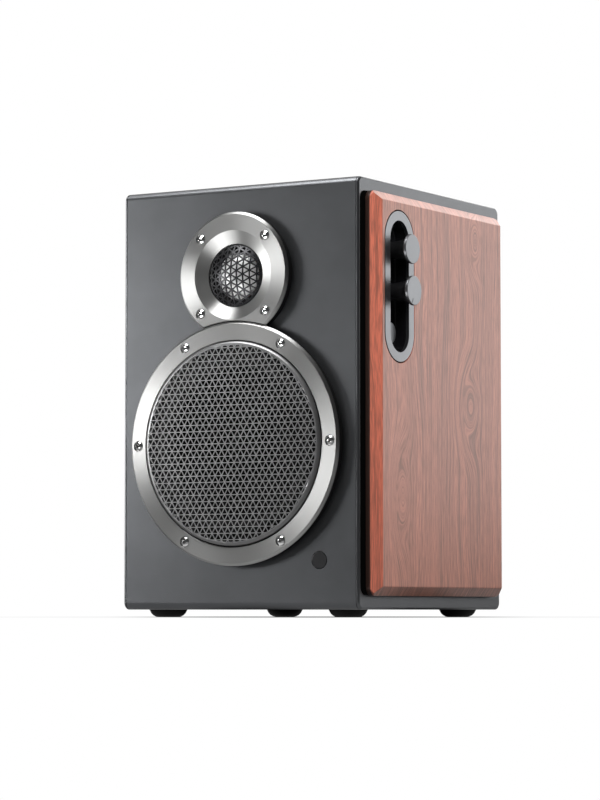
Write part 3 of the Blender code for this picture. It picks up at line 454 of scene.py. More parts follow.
def carve(made: bpy.types.Object, tool: Shape, site: Site, operation: str = "DIFFERENCE") -> None:
    """Cut a shape out of a piece, join it on, or keep what they share.

    Args:
        made: The piece.
        tool: The shape, in the frame of the site.
        site: Where it stands.
        operation: DIFFERENCE, UNION or INTERSECT.
    """
    cutter = tool.as_object("cutter", site)
    step = made.modifiers.new("carve", "BOOLEAN")
    step.object = cutter
    step.operation = operation
    settle(made)
    bpy.data.objects.remove(cutter)


def bore(made: bpy.types.Object, site: Site, radius: float, ends: Point, segments: int = 48) -> None:
    """Drill a round hole through a piece.

    Args:
        made: The piece.
        site: Where the hole is.
        radius: The hole's radius.
        ends: The near and far end of what it goes through.
        segments: The flats round the hole.
    """
    low, high = ends
    carve(made, Shape.prism(radius, low - OVERSHOOT, high + OVERSHOOT, segments), site)


def thicken(made: bpy.types.Object, thick: float) -> None:
    """Give a one-face sheet its thickness, behind its face."""
    step = made.modifiers.new("sheet", "SOLIDIFY")
    step.thickness = thick
    step.offset = -1.0
    settle(made)


def smooth(made: bpy.types.Object) -> None:
    """Shade a piece smooth between its sharp edges, with flat faces kept flat."""
    made.data.shade_smooth()
    made.data.set_sharp_from_angle(angle=SHARP)
    weights = made.modifiers.new("weights", "WEIGHTED_NORMAL")
    weights.keep_sharp = True
    weights.weight = 60
    settle(made)


def map_turning(made: bpy.types.Object, site: Site) -> None:
    """Give a turned piece a UV map whose U runs round its axis.

    Args:
        made: The piece.
        site: The site whose +Z is the axis.
    """
    back = site.frame().inverted()
    layer = made.data.uv_layers.new(name="turning")
    for polygon in made.data.polygons:
        middle = back @ polygon.center
        home = math.atan2(middle.y, middle.x)
        for loop in polygon.loop_indices:
            point = back @ made.data.vertices[made.data.loops[loop].vertex_index].co
            radius = math.hypot(point.x, point.y)
            angle = math.atan2(point.y, point.x) if radius > WELD else home
            angle += 2 * math.pi * round((home - angle) / (2 * math.pi))
            layer.data[loop].uv = (angle / (2 * math.pi), radius / (100 * MM))


class Graph:
    """Short calls for wiring up a node tree."""

    def __init__(self, tree: bpy.types.NodeTree) -> None:
        """Work on a tree."""
        self.tree = tree

    def add(self, kind: str, inputs: Optional[dict] = None, **settings: object) -> bpy.types.Node:
        """Add a node.

        Args:
            kind: The node's type.
            inputs: Sockets to link or constants to set, by input name or index.
            **settings: The node's own properties.

        Returns:
            The node.
        """
        node = self.tree.nodes.new(kind)
        for name, value in settings.items():
            setattr(node, name, value)
        for name, value in (inputs or {}).items():
            self.feed(node.inputs[name], value)
        return node

    def feed(self, socket: bpy.types.NodeSocket, value: object) -> None:
        """Link a socket, or set its constant."""
        if isinstance(value, bpy.types.NodeSocket):
            self.tree.links.new(value, socket)
        else:
            socket.default_value = value

    def math(self, operation: str, *values: object) -> bpy.types.NodeSocket:
        """The result of a sum on numbers."""
        return self.add("ShaderNodeMath", dict(enumerate(values)), operation=operation).outputs[0]

    def plus(self, first: object, second: object) -> bpy.types.NodeSocket:
        """The sum of two numbers."""
        return self.math("ADD", first, second)

    def minus(self, first: object, second: object) -> bpy.types.NodeSocket:
        """The difference of two numbers."""
        return self.math("SUBTRACT", first, second)

    def times(self, first: object, second: object) -> bpy.types.NodeSocket:
        """The product of two numbers."""
        return self.math("MULTIPLY", first, second)

    def between(
        self, value: object, low: float, high: float, start: float = 0.0, end: float = 1.0
    ) -> bpy.types.NodeSocket:
        """A value carried smoothly from the range low to high over to start to end."""
        inputs = {"Value": value, 1: low, 2: high, 3: start, 4: end}
        return self.add("ShaderNodeMapRange", inputs, interpolation_type="SMOOTHSTEP").outputs[0]

    def mix(self, share: object, first: object, second: object) -> bpy.types.NodeSocket:
        """A colour between two others."""
        inputs = {0: share, 6: first, 7: second}
        return self.add("ShaderNodeMix", inputs, data_type="RGBA").outputs[2]

    def noise(
        self, place: object, scale: object, detail: float = 2.0, roughness: float = 0.5
    ) -> bpy.types.NodeSocket:
        """The value of a noise texture."""
        inputs = {"Vector": place, "Scale": scale, "Detail": detail, "Roughness": roughness}
        return self.add("ShaderNodeTexNoise", inputs).outputs[0]

    def object_place(self) -> bpy.types.NodeSocket:
        """The object coordinates."""
        return self.add("ShaderNodeTexCoord").outputs["Object"]

    def vector(self, x: object, y: object, z: object) -> bpy.types.NodeSocket:
        """A vector from three numbers."""
        return self.add("ShaderNodeCombineXYZ", {0: x, 1: y, 2: z}).outputs[0]

    def group(self, tree: bpy.types.NodeTree, inputs: dict) -> bpy.types.Node:
        """Use a node group."""
        node = self.add("ShaderNodeGroup", node_tree=tree)
        for name, value in inputs.items():
            self.feed(node.inputs[name], value)
        return node


FLOAT = "NodeSocketFloat"
COLOUR = "NodeSocketColor"
VECTOR = "NodeSocketVector"


def new_group(
    name: str, inputs: Sequence[str], outputs: dict[str, str]
) -> tuple[bpy.types.NodeTree, Graph, bpy.types.Node, bpy.types.Node]:
    """Start a shared node group.

    Args:
        name: The group's name.
        inputs: Names of its number inputs.
        outputs: Its outputs and their socket types.

    Returns:
        The tree, its graph, the node that gives the inputs and the node that takes the outputs.
    """
    tree = bpy.data.node_groups.new(name, "ShaderNodeTree")
    for label in inputs:
        tree.interface.new_socket(label, in_out="INPUT", socket_type=FLOAT)
    for label, kind in outputs.items():
        tree.interface.new_socket(label, in_out="OUTPUT", socket_type=kind)
    graph = Graph(tree)
    return tree, graph, graph.add("NodeGroupInput"), graph.add("NodeGroupOutput")


def surface_grain() -> bpy.types.NodeTree:
    """Fine powder grain: a bumped normal, and a mask of the same grains."""
    known = bpy.data.node_groups.get("surface_grain")
    if known:
        return known
    tree, graph, given, taken = new_group(
        "surface_grain", ["Scale", "Depth"], {"Normal": VECTOR, "Mask": FLOAT}
    )
    grains = graph.noise(graph.object_place(), given.outputs["Scale"], 2.0, 0.6)
    bump = graph.add("ShaderNodeBump", {"Height": grains, "Distance": given.outputs["Depth"]})
    graph.feed(taken.inputs["Normal"], bump.outputs[0])
    graph.feed(taken.inputs["Mask"], graph.between(grains, 0.3, 0.7))
    return tree


def tone_drift() -> bpy.types.NodeTree:
    """Slow unevenness over a surface, from 0 to 1."""
    known = bpy.data.node_groups.get("tone_drift")
    if known:
        return known
    tree, graph, given, taken = new_group("tone_drift", ["Scale"], {"Drift": FLOAT})
    drift = graph.noise(graph.object_place(), given.outputs["Scale"], 3.0, 0.55)
    graph.feed(taken.inputs["Drift"], graph.between(drift, 0.3, 0.7))
    return tree


def turned_marks() -> bpy.types.NodeTree:
    """Fine lathe marks round the axis of the piece's turning map, from 0 to 1."""
    known = bpy.data.node_groups.get("turned_marks")
    if known:
        return known
    tree, graph, given, taken = new_group("turned_marks", ["Scale"], {"Marks": FLOAT})
    place = graph.add("ShaderNodeUVMap", uv_map="turning").outputs[0]
    parts = graph.add("ShaderNodeSeparateXYZ", {0: place})
    rings = graph.vector(graph.times(parts.outputs[0], 0.02), parts.outputs[1], 0.0)
    graph.feed(taken.inputs["Marks"], graph.noise(rings, given.outputs["Scale"], 4.0, 0.7))
    return tree


@dataclass(frozen=True)
class Knot:
    """A knot that the grain of a panel parts round.

    Attributes:
        across: How far back it is from the front of the cabinet.
        height: How high it is.
        width: The half width of the grain that it disturbs.
        length: The half length of the same.
    """

    across: float
    height: float
    width: float
    length: float


KNOTS = (
    Knot(33.7 * MM, 60.4 * MM, 13 * MM, 32 * MM),
    Knot(112 * MM, 113 * MM, 17 * MM, 27 * MM),
    Knot(118 * MM, 207 * MM, 12 * MM, 22 * MM),
)


WALNUT_DARK = (0.37, 0.145, 0.098, 1)
WALNUT_LIGHT = (0.45, 0.175, 0.118, 1)
# Painted shade: the redder tone given to sides that face the front, as if they caught less of the lamps'
# sheen.
WALNUT_FRONT_PAINTED_SHADE = (0.55, 0.15, 0.095, 1)
VEIN = (0.10, 0.05, 0.038, 1)
PORE = (0.14, 0.066, 0.048, 1)
# Painted shade on the panels' straight edges by the side plates: its colour, then how far out from the
# sleeve's side it begins and where it is full.
EDGE_PAINTED_SHADE = (0.035, 0.018, 0.014, 1)
EDGE_SHADE_FROM = 5.1 * MM
EDGE_SHADE_TO = 4.4 * MM


def parted(
    graph: Graph, ring: bpy.types.NodeSocket, across: bpy.types.NodeSocket, height: bpy.types.NodeSocket
) -> bpy.types.NodeSocket:
    """Part the year rings round the knots.

    Args:
        graph: The graph to work in.
        ring: Where on the log each point lies.
        across: How far back each point is.
        height: How high each point is.

    Returns:
        Where on the log each point lies, with the knots in place.
    """
    for knot in KNOTS:
        over = graph.math("DIVIDE", graph.minus(across, knot.across), knot.width)
        up = graph.math("DIVIDE", graph.minus(height, knot.height), knot.length)
        square = graph.plus(graph.times(over, over), graph.times(up, up))
        spread = graph.math("EXPONENT", graph.times(graph.math("POWER", square, 1.6), -1.0))
        eye = graph.math("MULTIPLY_ADD", graph.math("SQRT", square), knot.width, knot.across)
        ring = graph.plus(ring, graph.times(spread, graph.minus(eye, ring)))
    return ring


def walnut_figure() -> bpy.types.NodeTree:
    """Upright walnut grain that parts round its knots: colour, roughness and a bumped normal, with painted
    shade: a redder tone on sides that face the front, and darkening next to the side plates.
    """
    known = bpy.data.node_groups.get("walnut_figure")
    if known:
        return known
    tree, graph, given, taken = new_group(
        "walnut_figure", ["Side"], {"Colour": COLOUR, "Roughness": FLOAT, "Normal": VECTOR}
    )
    parts = graph.add("ShaderNodeSeparateXYZ", {0: graph.object_place()})
    low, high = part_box("cabinet_sleeve")
    across = graph.minus(parts.outputs[1], low.y)
    height = graph.minus(parts.outputs[2], low.z)
    depth = graph.times(parts.outputs[0], 0.6)
    sway = graph.noise(graph.vector(across, graph.times(height, 0.35), depth), 22.0, 1.0)
    straight = graph.plus(across, graph.times(graph.minus(sway, 0.5), 20 * MM))
    ring = graph.plus(parted(graph, straight, across, height), depth)
    streak = graph.vector(ring, graph.times(height, 0.012), given.outputs["Side"])
    fibre = graph.vector(ring, graph.times(height, 0.05), given.outputs["Side"])
    broad = graph.noise(streak, 120.0)
    lines = graph.noise(streak, 260.0)
    fibres = graph.noise(fibre, 1900.0, 2.0, 0.6)
    body = graph.mix(graph.between(broad, 0.35, 0.65), WALNUT_DARK, WALNUT_LIGHT)
    # Painted shade: sides whose normal faces the front turn redder, standing in for the sheen they lack.
    normal = graph.add("ShaderNodeNewGeometry").outputs["True Normal"]
    facing = graph.add("ShaderNodeSeparateXYZ", {0: normal}).outputs[1]
    body = graph.mix(graph.between(facing, -0.2, -0.5), body, WALNUT_FRONT_PAINTED_SHADE)
    off_vein = graph.math("ABSOLUTE", graph.minus(lines, 0.5))
    lined = graph.mix(graph.times(graph.between(off_vein, 0.045, 0.0), 0.55), body, VEIN)
    figured = graph.mix(graph.times(graph.between(fibres, 0.6, 0.35), 0.55), lined, PORE)
    # Painted shade: the wood darkens close to the side plate, over the panel's straight edges.
    raised = graph.math("ABSOLUTE", parts.outputs[0])
    edge_shaded = graph.between(raised, high.x + EDGE_SHADE_FROM, high.x + EDGE_SHADE_TO)
    graph.feed(taken.inputs["Colour"], graph.mix(edge_shaded, figured, EDGE_PAINTED_SHADE))
    graph.feed(taken.inputs["Roughness"], graph.between(fibres, 0.3, 0.7, 0.42, 0.34))
    bump = graph.add("ShaderNodeBump", {"Height": fibres, "Distance": 0.03 * MM})
    graph.feed(taken.inputs["Normal"], bump.outputs[0])
    return tree


@dataclass(frozen=True)
class Surface:
    """A material and the slot that it belongs to.

    Attributes:
        name: The material's name.
        slot: The slot it belongs to.
    """

    name: str
    slot: str

    def material(self) -> bpy.types.Material:
        """The material, made the first time it is asked for."""
        label = self.name + "_finish"
        known = bpy.data.materials.get(label)
        if known:
            return known
        made = bpy.data.materials.new(label)
        made.use_nodes = True
        self.dress(Graph(made.node_tree), made.node_tree.nodes["Principled BSDF"])
        return made

    def dress(self, graph: Graph, shader: bpy.types.Node) -> None:
        """Wire the surface's look into the shader."""
        raise NotImplementedError


@dataclass(frozen=True)
class Finish(Surface):
    """A painted, moulded or plated surface.

    Attributes:
        colour: Its base colour.
        roughness: Its roughness where it is evenest.
        metallic: 1 for bare metal.
        specular: The strength of its mirror-like reflection, 0.5 being usual.
        grain: How many grains to the metre.
        depth: How deep the grains are.
        drift: How far its colour wanders.
    """

    colour: Colour
    roughness: float
    metallic: float = 0.0
    specular: float = 0.5
    grain: float = 2500.0
    depth: float = 0.01 * MM
    drift: float = 0.06

    def dress(self, graph: Graph, shader: bpy.types.Node) -> None:
        """Wire a powdery grain into the shader."""
        grain = graph.group(surface_grain(), {"Scale": self.grain, "Depth": self.depth})
        drift = graph.group(tone_drift(), {"Scale": 30.0}).outputs["Drift"]
        self.tint(graph, shader, drift, grain.outputs["Mask"])
        graph.feed(shader.inputs["Normal"], grain.outputs["Normal"])

    def tint(
        self, graph: Graph, shader: bpy.types.Node, drift: bpy.types.NodeSocket, mask: bpy.types.NodeSocket
    ) -> None:
        """Wire the colour and roughness, each a little uneven, into the shader.

        Args:
            graph: The material's graph.
            shader: Its shader.
            drift: Where the colour is lighter.
            mask: Where the surface is rougher.
        """
        shader.inputs["Metallic"].default_value = self.metallic
        shader.inputs["Specular IOR Level"].default_value = self.specular
        dim = (*[channel * (1 - self.drift) for channel in self.colour], 1)
        lit = (*[channel * (1 + self.drift) for channel in self.colour], 1)
        graph.feed(shader.inputs["Base Color"], graph.mix(drift, dim, lit))
        rough = graph.between(mask, 0.0, 1.0, self.roughness * 0.92, self.roughness * 1.08)
        graph.feed(shader.inputs["Roughness"], rough)


@dataclass(frozen=True)
class TurnedMetal(Finish):
    """Metal faced on a lathe, which draws its highlights out from the axis.

    Attributes:
        stretch: How far the highlights are drawn out.
    """

    stretch: float = 0.85

    def dress(self, graph: Graph, shader: bpy.types.Node) -> None:
        """Wire the lathe marks into the shader."""
        marks = graph.group(turned_marks(), {"Scale": 900.0}).outputs["Marks"]
        self.tint(graph, shader, marks, marks)
        bump = graph.add("ShaderNodeBump", {"Height": marks, "Distance": self.depth})
        graph.feed(shader.inputs["Normal"], bump.outputs[0])
        tangent = graph.add("ShaderNodeTangent", direction_type="UV_MAP", uv_map="turning")
        graph.feed(shader.inputs["Tangent"], tangent.outputs[0])
        shader.inputs["Anisotropic"].default_value = self.stretch
        shader.inputs["Anisotropic Rotation"].default_value = 0.25


@dataclass(frozen=True)
class Walnut(Surface):
    """Oiled walnut with an upright figure.

    Attributes:
        side: Which board it was cut from.
    """

    side: float = 0.0

    def dress(self, graph: Graph, shader: bpy.types.Node) -> None:
        """Wire the figure into the shader."""
        figure = graph.group(walnut_figure(), {"Side": self.side})
        graph.feed(shader.inputs["Base Color"], figure.outputs["Colour"])
        graph.feed(shader.inputs["Roughness"], figure.outputs["Roughness"])
        graph.feed(shader.inputs["Normal"], figure.outputs["Normal"])


ANTHRACITE = Finish(
    "anthracite", "anthracite_shell", (0.094, 0.097, 0.102), 0.36, 0.92, grain=1500.0, depth=0.035 * MM
)
WALNUT_RIGHT = Walnut("walnut_right", "walnut")
WALNUT_LEFT = Walnut("walnut_left", "walnut", 0.37)
STEEL = TurnedMetal("turned_steel", "turned_steel", (0.34, 0.34, 0.335), 0.36, 1.0, depth=0.0008 * MM)
POLISHED = Finish("polished_steel", "turned_steel", (0.75, 0.75, 0.75), 0.12, 1.0, depth=0.001 * MM)
SILVER = Finish("satin_silver", "satin_silver", (0.165, 0.17, 0.178), 0.34, 0.9)
GRILLE = Finish("grille_sheet", "grille_sheet", (0.19, 0.19, 0.192), 0.38, 0.9)
PLASTIC = Finish("black_plastic", "black_plastic", (0.012, 0.012, 0.013), 0.42)
PLASTIC_SATIN = Finish("satin_black_plastic", "black_plastic", (0.014, 0.014, 0.015), 0.3)
GLOSS = Finish("gloss_black", "gloss_black", (0.006, 0.006, 0.007), 0.16, depth=0.002 * MM)
BLACK_STEEL = Finish("black_steel", "black_steel", (0.03, 0.03, 0.032), 0.38, 0.8)
# Painted shadow: a black sheet laid where the right cheek shades the side plate.
SHADOW_SHEET = Finish("black_gasket", "rubber", (0.002, 0.002, 0.002), 0.9, specular=0.0)
MATT = Finish("matt_black_plastic", "black_plastic", (0.004, 0.004, 0.004), 0.7, specular=0.15)
RUBBER = Finish("rubber", "rubber", (0.006, 0.006, 0.006), 0.7, specular=0.2)
PAPER = Finish(
    "cone_paper", "cone_paper", (0.004, 0.004, 0.004), 0.85, specular=0.05, grain=900.0, depth=0.08 * MM
)
CLOTH = Finish("spider_cloth", "spider_cloth", (0.35, 0.2, 0.08), 0.9, grain=900.0, depth=0.05 * MM)
DOME = Finish("dome_metal", "dome_metal", (0.95, 0.95, 0.95), 0.35, 0.3, depth=0.002 * MM)
ZINC = Finish("zinc_plate", "zinc_plate", (0.5, 0.51, 0.5), 0.35, 1.0)
FERRITE = Finish("ferrite", "ferrite", (0.05, 0.05, 0.055), 0.6, grain=1500.0, depth=0.04 * MM)
COPPER = Finish("copper_wire", "copper_wire", (0.6, 0.26, 0.12), 0.35, 1.0)
BOARD = Finish("circuit_board", "circuit_board", (0.02, 0.12, 0.05), 0.45, drift=0.15)
RED = Finish("red_plastic", "red_plastic", (0.5, 0.02, 0.02), 0.4)
WHITE = Finish("white_plastic", "white_plastic", (0.75, 0.75, 0.73), 0.4)
SMOKED = Finish("smoked_window", "smoked_window", (0.008, 0.008, 0.009), 0.3, depth=0.0)


def fit(made: bpy.types.Object, finish: Surface, body: str, *nodes: str) -> bpy.types.Object:
    """Give a finished piece its surface and its place in the speaker.

    Args:
        made: The piece.
        finish: Its surface.
        body: The body that it moves with.
        *nodes: The CAD nodes that it stands for.

    Returns:
        The piece.
    """
    smooth(made)
    made.data.materials.clear()
    made.data.materials.append(finish.material())
    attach(made, body)
    if nodes:
        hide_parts(*nodes)
    LOG.info("%s: %d faces on %s", made.name, len(made.data.polygons), body)
    return made


def dress_nodes(finish: Surface, *nodes: str) -> None:
    """Give CAD nodes that are shown as they are their surface.

    Args:
        finish: The surface.
        *nodes: The nodes.
    """
    for node in nodes:
        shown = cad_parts[node]
        shown.data.materials.clear()
        shown.data.materials.append(finish.material())
        LOG.info("%s: shown as built, in %s", node, finish.name)


@dataclass
class Cabinet:
    """The wrapped cabinet: a sleeve open at the back, closed by a plate on each side.

    Attributes:
        edge: The radius of the sleeve's long edges.
        softness: How far the plates' rims are rounded.
        wall: The thickness of the sleeve.
        front_wall: The thickness of the baffle.
        seam: How far the edges are eased where the sleeve meets the plates.
        ledge: The width of the ledge behind the connection panel.
        rebate: How deep that panel is let in.
        play: The gap round a part that is let in.
        cut: How far the cutters reach into the cabinet.
        woofer_bore: The radius of the woofer's hole.
        woofer_step: The radius of the shallow step round it.
        step_depth: How deep that step is.
        tweeter_bore: The radius of the tweeter's hole.
    """

    edge: float = 4 * MM
    softness: float = 1.3 * MM
    wall: float = 5 * MM
    front_wall: float = 8 * MM
    seam: float = 0.12 * MM
    ledge: float = 4 * MM
    rebate: float = 2.3 * MM
    play: float = 0.3 * MM
    cut: float = 12 * MM
    woofer_bore: float = 52.8 * MM
    woofer_step: float = 58.5 * MM
    step_depth: float = 2.6 * MM
    tweeter_bore: float = 20.9 * MM

    def build(self) -> None:
        """Model the sleeve and both plates."""
        self.sleeve()
        self.plate(Face.RIGHT, "side_plate_right")
        self.plate(Face.LEFT, "side_plate_left")

    def outline(self, low: float, high: float, site: Site, node: str) -> Shape:
        """A block over a node's outline, with its long edges rounded.

        Args:
            low: The near end.
            high: The far end.
            site: The site it stands on.
            node: The node whose outline is followed.

        Returns:
            The block.
        """
        return Shape.block(*site.extent(node), low, high).bevelled(upright, self.edge, 10)

    def sleeve(self) -> None:
        """The sleeve, with its bores and its back opening."""
        site = Site.at("cabinet_sleeve", Face.RIGHT)
        low, high = site.reach("cabinet_sleeve")
        shape = self.outline(low, high, site, "cabinet_sleeve")
        for end in (low, high):
            shape.bevelled(level(end), self.seam, 2)
        sleeve = shape.as_object("cabinet_wrap", site)
        height, depth = site.extent("cabinet_sleeve")
        room = (height - 2 * self.wall, depth - self.wall - self.front_wall)
        inside = Shape.block(*room, low - OVERSHOOT, high + OVERSHOOT)
        carve(sleeve, inside.moved(y=(self.front_wall - self.wall) / 2), site)
        back = Site.at("rear_panel", Face.BACK)
        width, tall = back.extent("rear_panel")
        for margin, deep in ((-self.ledge, self.cut), (self.play, self.rebate)):
            opening = Shape.block(width + 2 * margin, tall + 2 * margin, -deep, self.wall)
            carve(sleeve, opening, back)
        self.front_holes(sleeve)
        fit(sleeve, ANTHRACITE, "cabinet", "cabinet_sleeve")

    def front_holes(self, sleeve: bpy.types.Object) -> None:
        """Cut the drivers', the screws' and the window's holes in the front."""
        proud = 2 * OVERSHOOT
        steps = [
            (0, -self.cut),
            (self.woofer_bore, -self.cut),
            (self.woofer_bore, -self.step_depth),
            (self.woofer_step, -self.step_depth),
            (self.woofer_step, proud),
            (0, proud),
        ]
        carve(sleeve, Shape.turned(steps), Site.at("woofer_trim_ring", Face.FRONT))
        window = Site.at("ir_window", Face.FRONT).extent("ir_window")[0] / 2 + 0.25 * MM
        holes = [("tweeter_grille", self.tweeter_bore, 96)]
        holes += [(node, SCREW_BORE, 16) for node in SCREWS]
        holes += [("ir_window", window, 48)]
        for node, radius, segments in holes:
            drill = Shape.prism(radius, -self.cut, proud, segments)
            carve(sleeve, drill, Site.at(node, Face.FRONT))

    def plate(self, face: Face, node: str) -> None:
        """One side plate.

        Args:
            face: The side it closes.
            node: Its CAD node.
        """
        site = Site.at(node, face)
        low, high = site.reach(node)
        shape = self.outline(low, high, site, node).bevelled(level(high), self.softness, 6)
        shape.bevelled(level(low), self.seam, 2)
        plate = shape.as_object(node + "_panel", site)
        if face is Face.RIGHT:
            slot = Site.at("control_bezel", face)
            size = [side + 2 * self.play for side in slot.extent("control_bezel")]
            carve(plate, Shape.stadium(*size, -self.wall, self.wall), slot)
        fit(plate, ANTHRACITE, "cabinet", node)


@dataclass
class Cheek:
    """A wooden side panel with a mitred chamfer round its face.

    Attributes:
        face: The side it covers.
        node: Its CAD node.
        finish: The board it was cut from.
        chamfer: The chamfer's width.
        softness: How far its edges are eased.
        corner: The radius of its corners at the cabinet.
        lip: How far its black sheet of painted shadow shows in front of it.
        shadow_sheet_low: How far under the panel that sheet starts.
        shadow_sheet_high: How far under the panel it ends.
        slot_cut: Where the cutter for the control slot starts and ends.
    """

    face: Face
    node: str
    finish: Surface
    chamfer: float
    softness: float = 0.4 * MM
    corner: float = 5 * MM
    lip: float = 5.2 * MM
    shadow_sheet_low: float = 0.27 * MM
    shadow_sheet_high: float = 0.02 * MM
    slot_cut: Point = (-5 * MM, 12 * MM)

    def build(self) -> None:
        """Model the panel."""
        site = Site.at(self.node, self.face)
        low, high = site.reach(self.node)
        tall, long = site.extent(self.node)
        shape = Shape.block(tall, long, low, high)
        shape.bevelled(level(high), self.chamfer, 1)
        shape.bevelled(lambda edge: min(v.co.z for v in edge.verts) > low + WELD, self.softness, 3)
        panel = shape.as_object(self.node + "_board", site)
        outline = Shape.block(tall, long, low - OVERSHOOT, high + OVERSHOOT)
        carve(panel, outline.bevelled(upright, self.corner, 10), site, "INTERSECT")
        if self.face is Face.RIGHT:
            self.cut_slot(panel, 1.3 * MM, 128)
            # Painted shadow: a black sheet showing in front of the right cheek.
            self.shadow_sheet(site, tall, long)
        fit(panel, self.finish, "cabinet", self.node)

    def cut_slot(self, made: bpy.types.Object, margin: float, segments: int) -> None:
        """Cut the control slot.

        Args:
            made: The piece it goes through.
            margin: How much longer and wider than the bezel it is.
            segments: The flats in its ends.
        """
        site = Site.at("control_bezel", self.face)
        size = [side + margin for side in site.extent("control_bezel")]
        carve(made, Shape.stadium(*size, *self.slot_cut, segments), site)

    def shadow_sheet(self, site: Site, tall: float, long: float) -> None:
        """A black sheet behind the panel, which shows in front of it: painted shadow where the panel shades
        the side plate.

        Args:
            site: The panel's site.
            tall: The panel's height.
            long: The panel's length.
        """
        low = site.reach(self.node)[0]
        ends = (low - self.shadow_sheet_low, low - self.shadow_sheet_high)
        outline = Shape.block(tall - 1 * MM, long, *ends)
        outline.bevelled(upright, self.corner, 10)
        made = outline.moved(y=-self.lip).as_object(self.node + "_gasket", site)
        self.cut_slot(made, -6 * MM, 96)
        fit(made, SHADOW_SHEET, "cabinet")


@dataclass
class Feet:
    """Four rubber feet under the cabinet.

    Attributes:
        nodes: Their CAD nodes.
        fillet: The radius round their soles.
    """

    nodes: tuple[str, ...] = ("foot_front_right", "foot_front_left", "foot_rear_right", "foot_rear_left")
    fillet: float = 5.2 * MM

    def build(self) -> None:
        """Model each foot as a turned pad."""
        for node in self.nodes:
            site, low, high, radius = seat(node, Face.BOTTOM)
            corners = [
                Corner(0, high),
                Corner(radius, high, self.fillet),
                Corner(radius, low),
                Corner(0, low),
            ]
            fit(Shape.lathed(corners, 64).as_object(node + "_pad", site), RUBBER, "cabinet", node)


@dataclass
class Screw:
    """A domed screw with a hexagon socket.

    Attributes:
        node: Its CAD node.
        thick: The thickness of its head.
        rise: How far the head is domed.
        shank: The radius of its shank.
        key: The corner radius of its socket.
        key_depth: The socket's depth.
    """

    node: str
    thick: float = 1.2 * MM
    rise: float = 0.9 * MM
    shank: float = 1.5 * MM
    key: float = 1.15 * MM
    key_depth: float = 1.3 * MM

    def build(self) -> None:
        """Model the screw."""
        site, low, high, head = seat(self.node, Face.FRONT)
        rim = high - self.thick
        points = cap_points(high, head, self.rise, 8)
        points += [(head, rim), (self.shank, rim), (self.shank, low), (0, low)]
        screw = Shape.turned(points, 40).as_object(self.node + "_cap", site)
        carve(screw, Shape.prism(self.key, high - self.key_depth, high + OVERSHOOT, 6), site)
        fit(screw, POLISHED, "cabinet", self.node)


@dataclass
class Lattice:
    """A sheet pierced with triangular holes.

    Attributes:
        radius: The radius of the pierced part.
        side: The side of the triangles, strand to strand.
        strand: The width of a strand.
        slack: How far from the edge a point may be and still belong to it.
        least: The smallest hole that is opened, in strands.
    """

    radius: float
    side: float
    strand: float
    slack: float = 0.12 * MM
    least: float = 0.75

    def sheet(self, flats: int = 96) -> Shape:
        """The flat sheet at height 0, one face thick, with one line of strands along X.

        Args:
            flats: The flats round its edge.

        Returns:
            The sheet.
        """
        shape = Shape()
        count = 2 * math.ceil(1.3 * self.radius / self.side)
        bmesh.ops.create_grid(shape.mesh, x_segments=count, y_segments=count, size=count * self.side / 2)
        for vert in shape.mesh.verts:
            vert.co.x += vert.co.y / 2
            vert.co.y *= math.sqrt(3) / 2
        bmesh.ops.triangulate(shape.mesh, faces=shape.mesh.faces, quad_method="SHORT_EDGE")
        for index in range(flats):
            angle = 2 * math.pi * index / flats
            outward = Vector((math.cos(angle), math.sin(angle), 0))
            bmesh.ops.bisect_plane(
                shape.mesh,
                geom=shape.mesh.verts[:] + shape.mesh.edges[:] + shape.mesh.faces[:],
                dist=WELD,
                plane_co=outward * self.radius,
                plane_no=outward,
                clear_outer=True,
            )
        bmesh.ops.remove_doubles(shape.mesh, verts=shape.mesh.verts, dist=0.02 * MM)
        self.pierce(shape)
        return shape

    def skirt(self, shape: Shape, rings: Sequence[Point]) -> None:
        """Draw the sheet's outer edge out and down through rings.

        Args:
            shape: The pierced sheet.
            rings: Each ring's radius and height.
        """
        rim = [
            edge
            for edge in shape.mesh.edges
            if edge.is_boundary and all(v.co.xy.length > self.radius - self.slack for v in edge.verts)
        ]
        for radius, height in rings:
            drawn = bmesh.ops.extrude_edge_only(shape.mesh, edges=rim)["geom"]
            rim = [part for part in drawn if isinstance(part, bmesh.types.BMEdge)]
            for vert in {v for edge in rim for v in edge.verts}:
                scale = radius / vert.co.xy.length
                vert.co = (vert.co.x * scale, vert.co.y * scale, height)

    def pierce(self, shape: Shape) -> None:
        """Open a hole in each triangle that has room for one."""
        least = self.least * self.strand / 2
        roomy = [face for face in shape.mesh.faces if face.calc_area() / face.calc_perimeter() > least]
        bmesh.ops.inset_individual(shape.mesh, faces=roomy, thickness=self.strand / 2, use_even_offset=True)
        bmesh.ops.delete(shape.mesh, geom=roomy, context="FACES_ONLY")


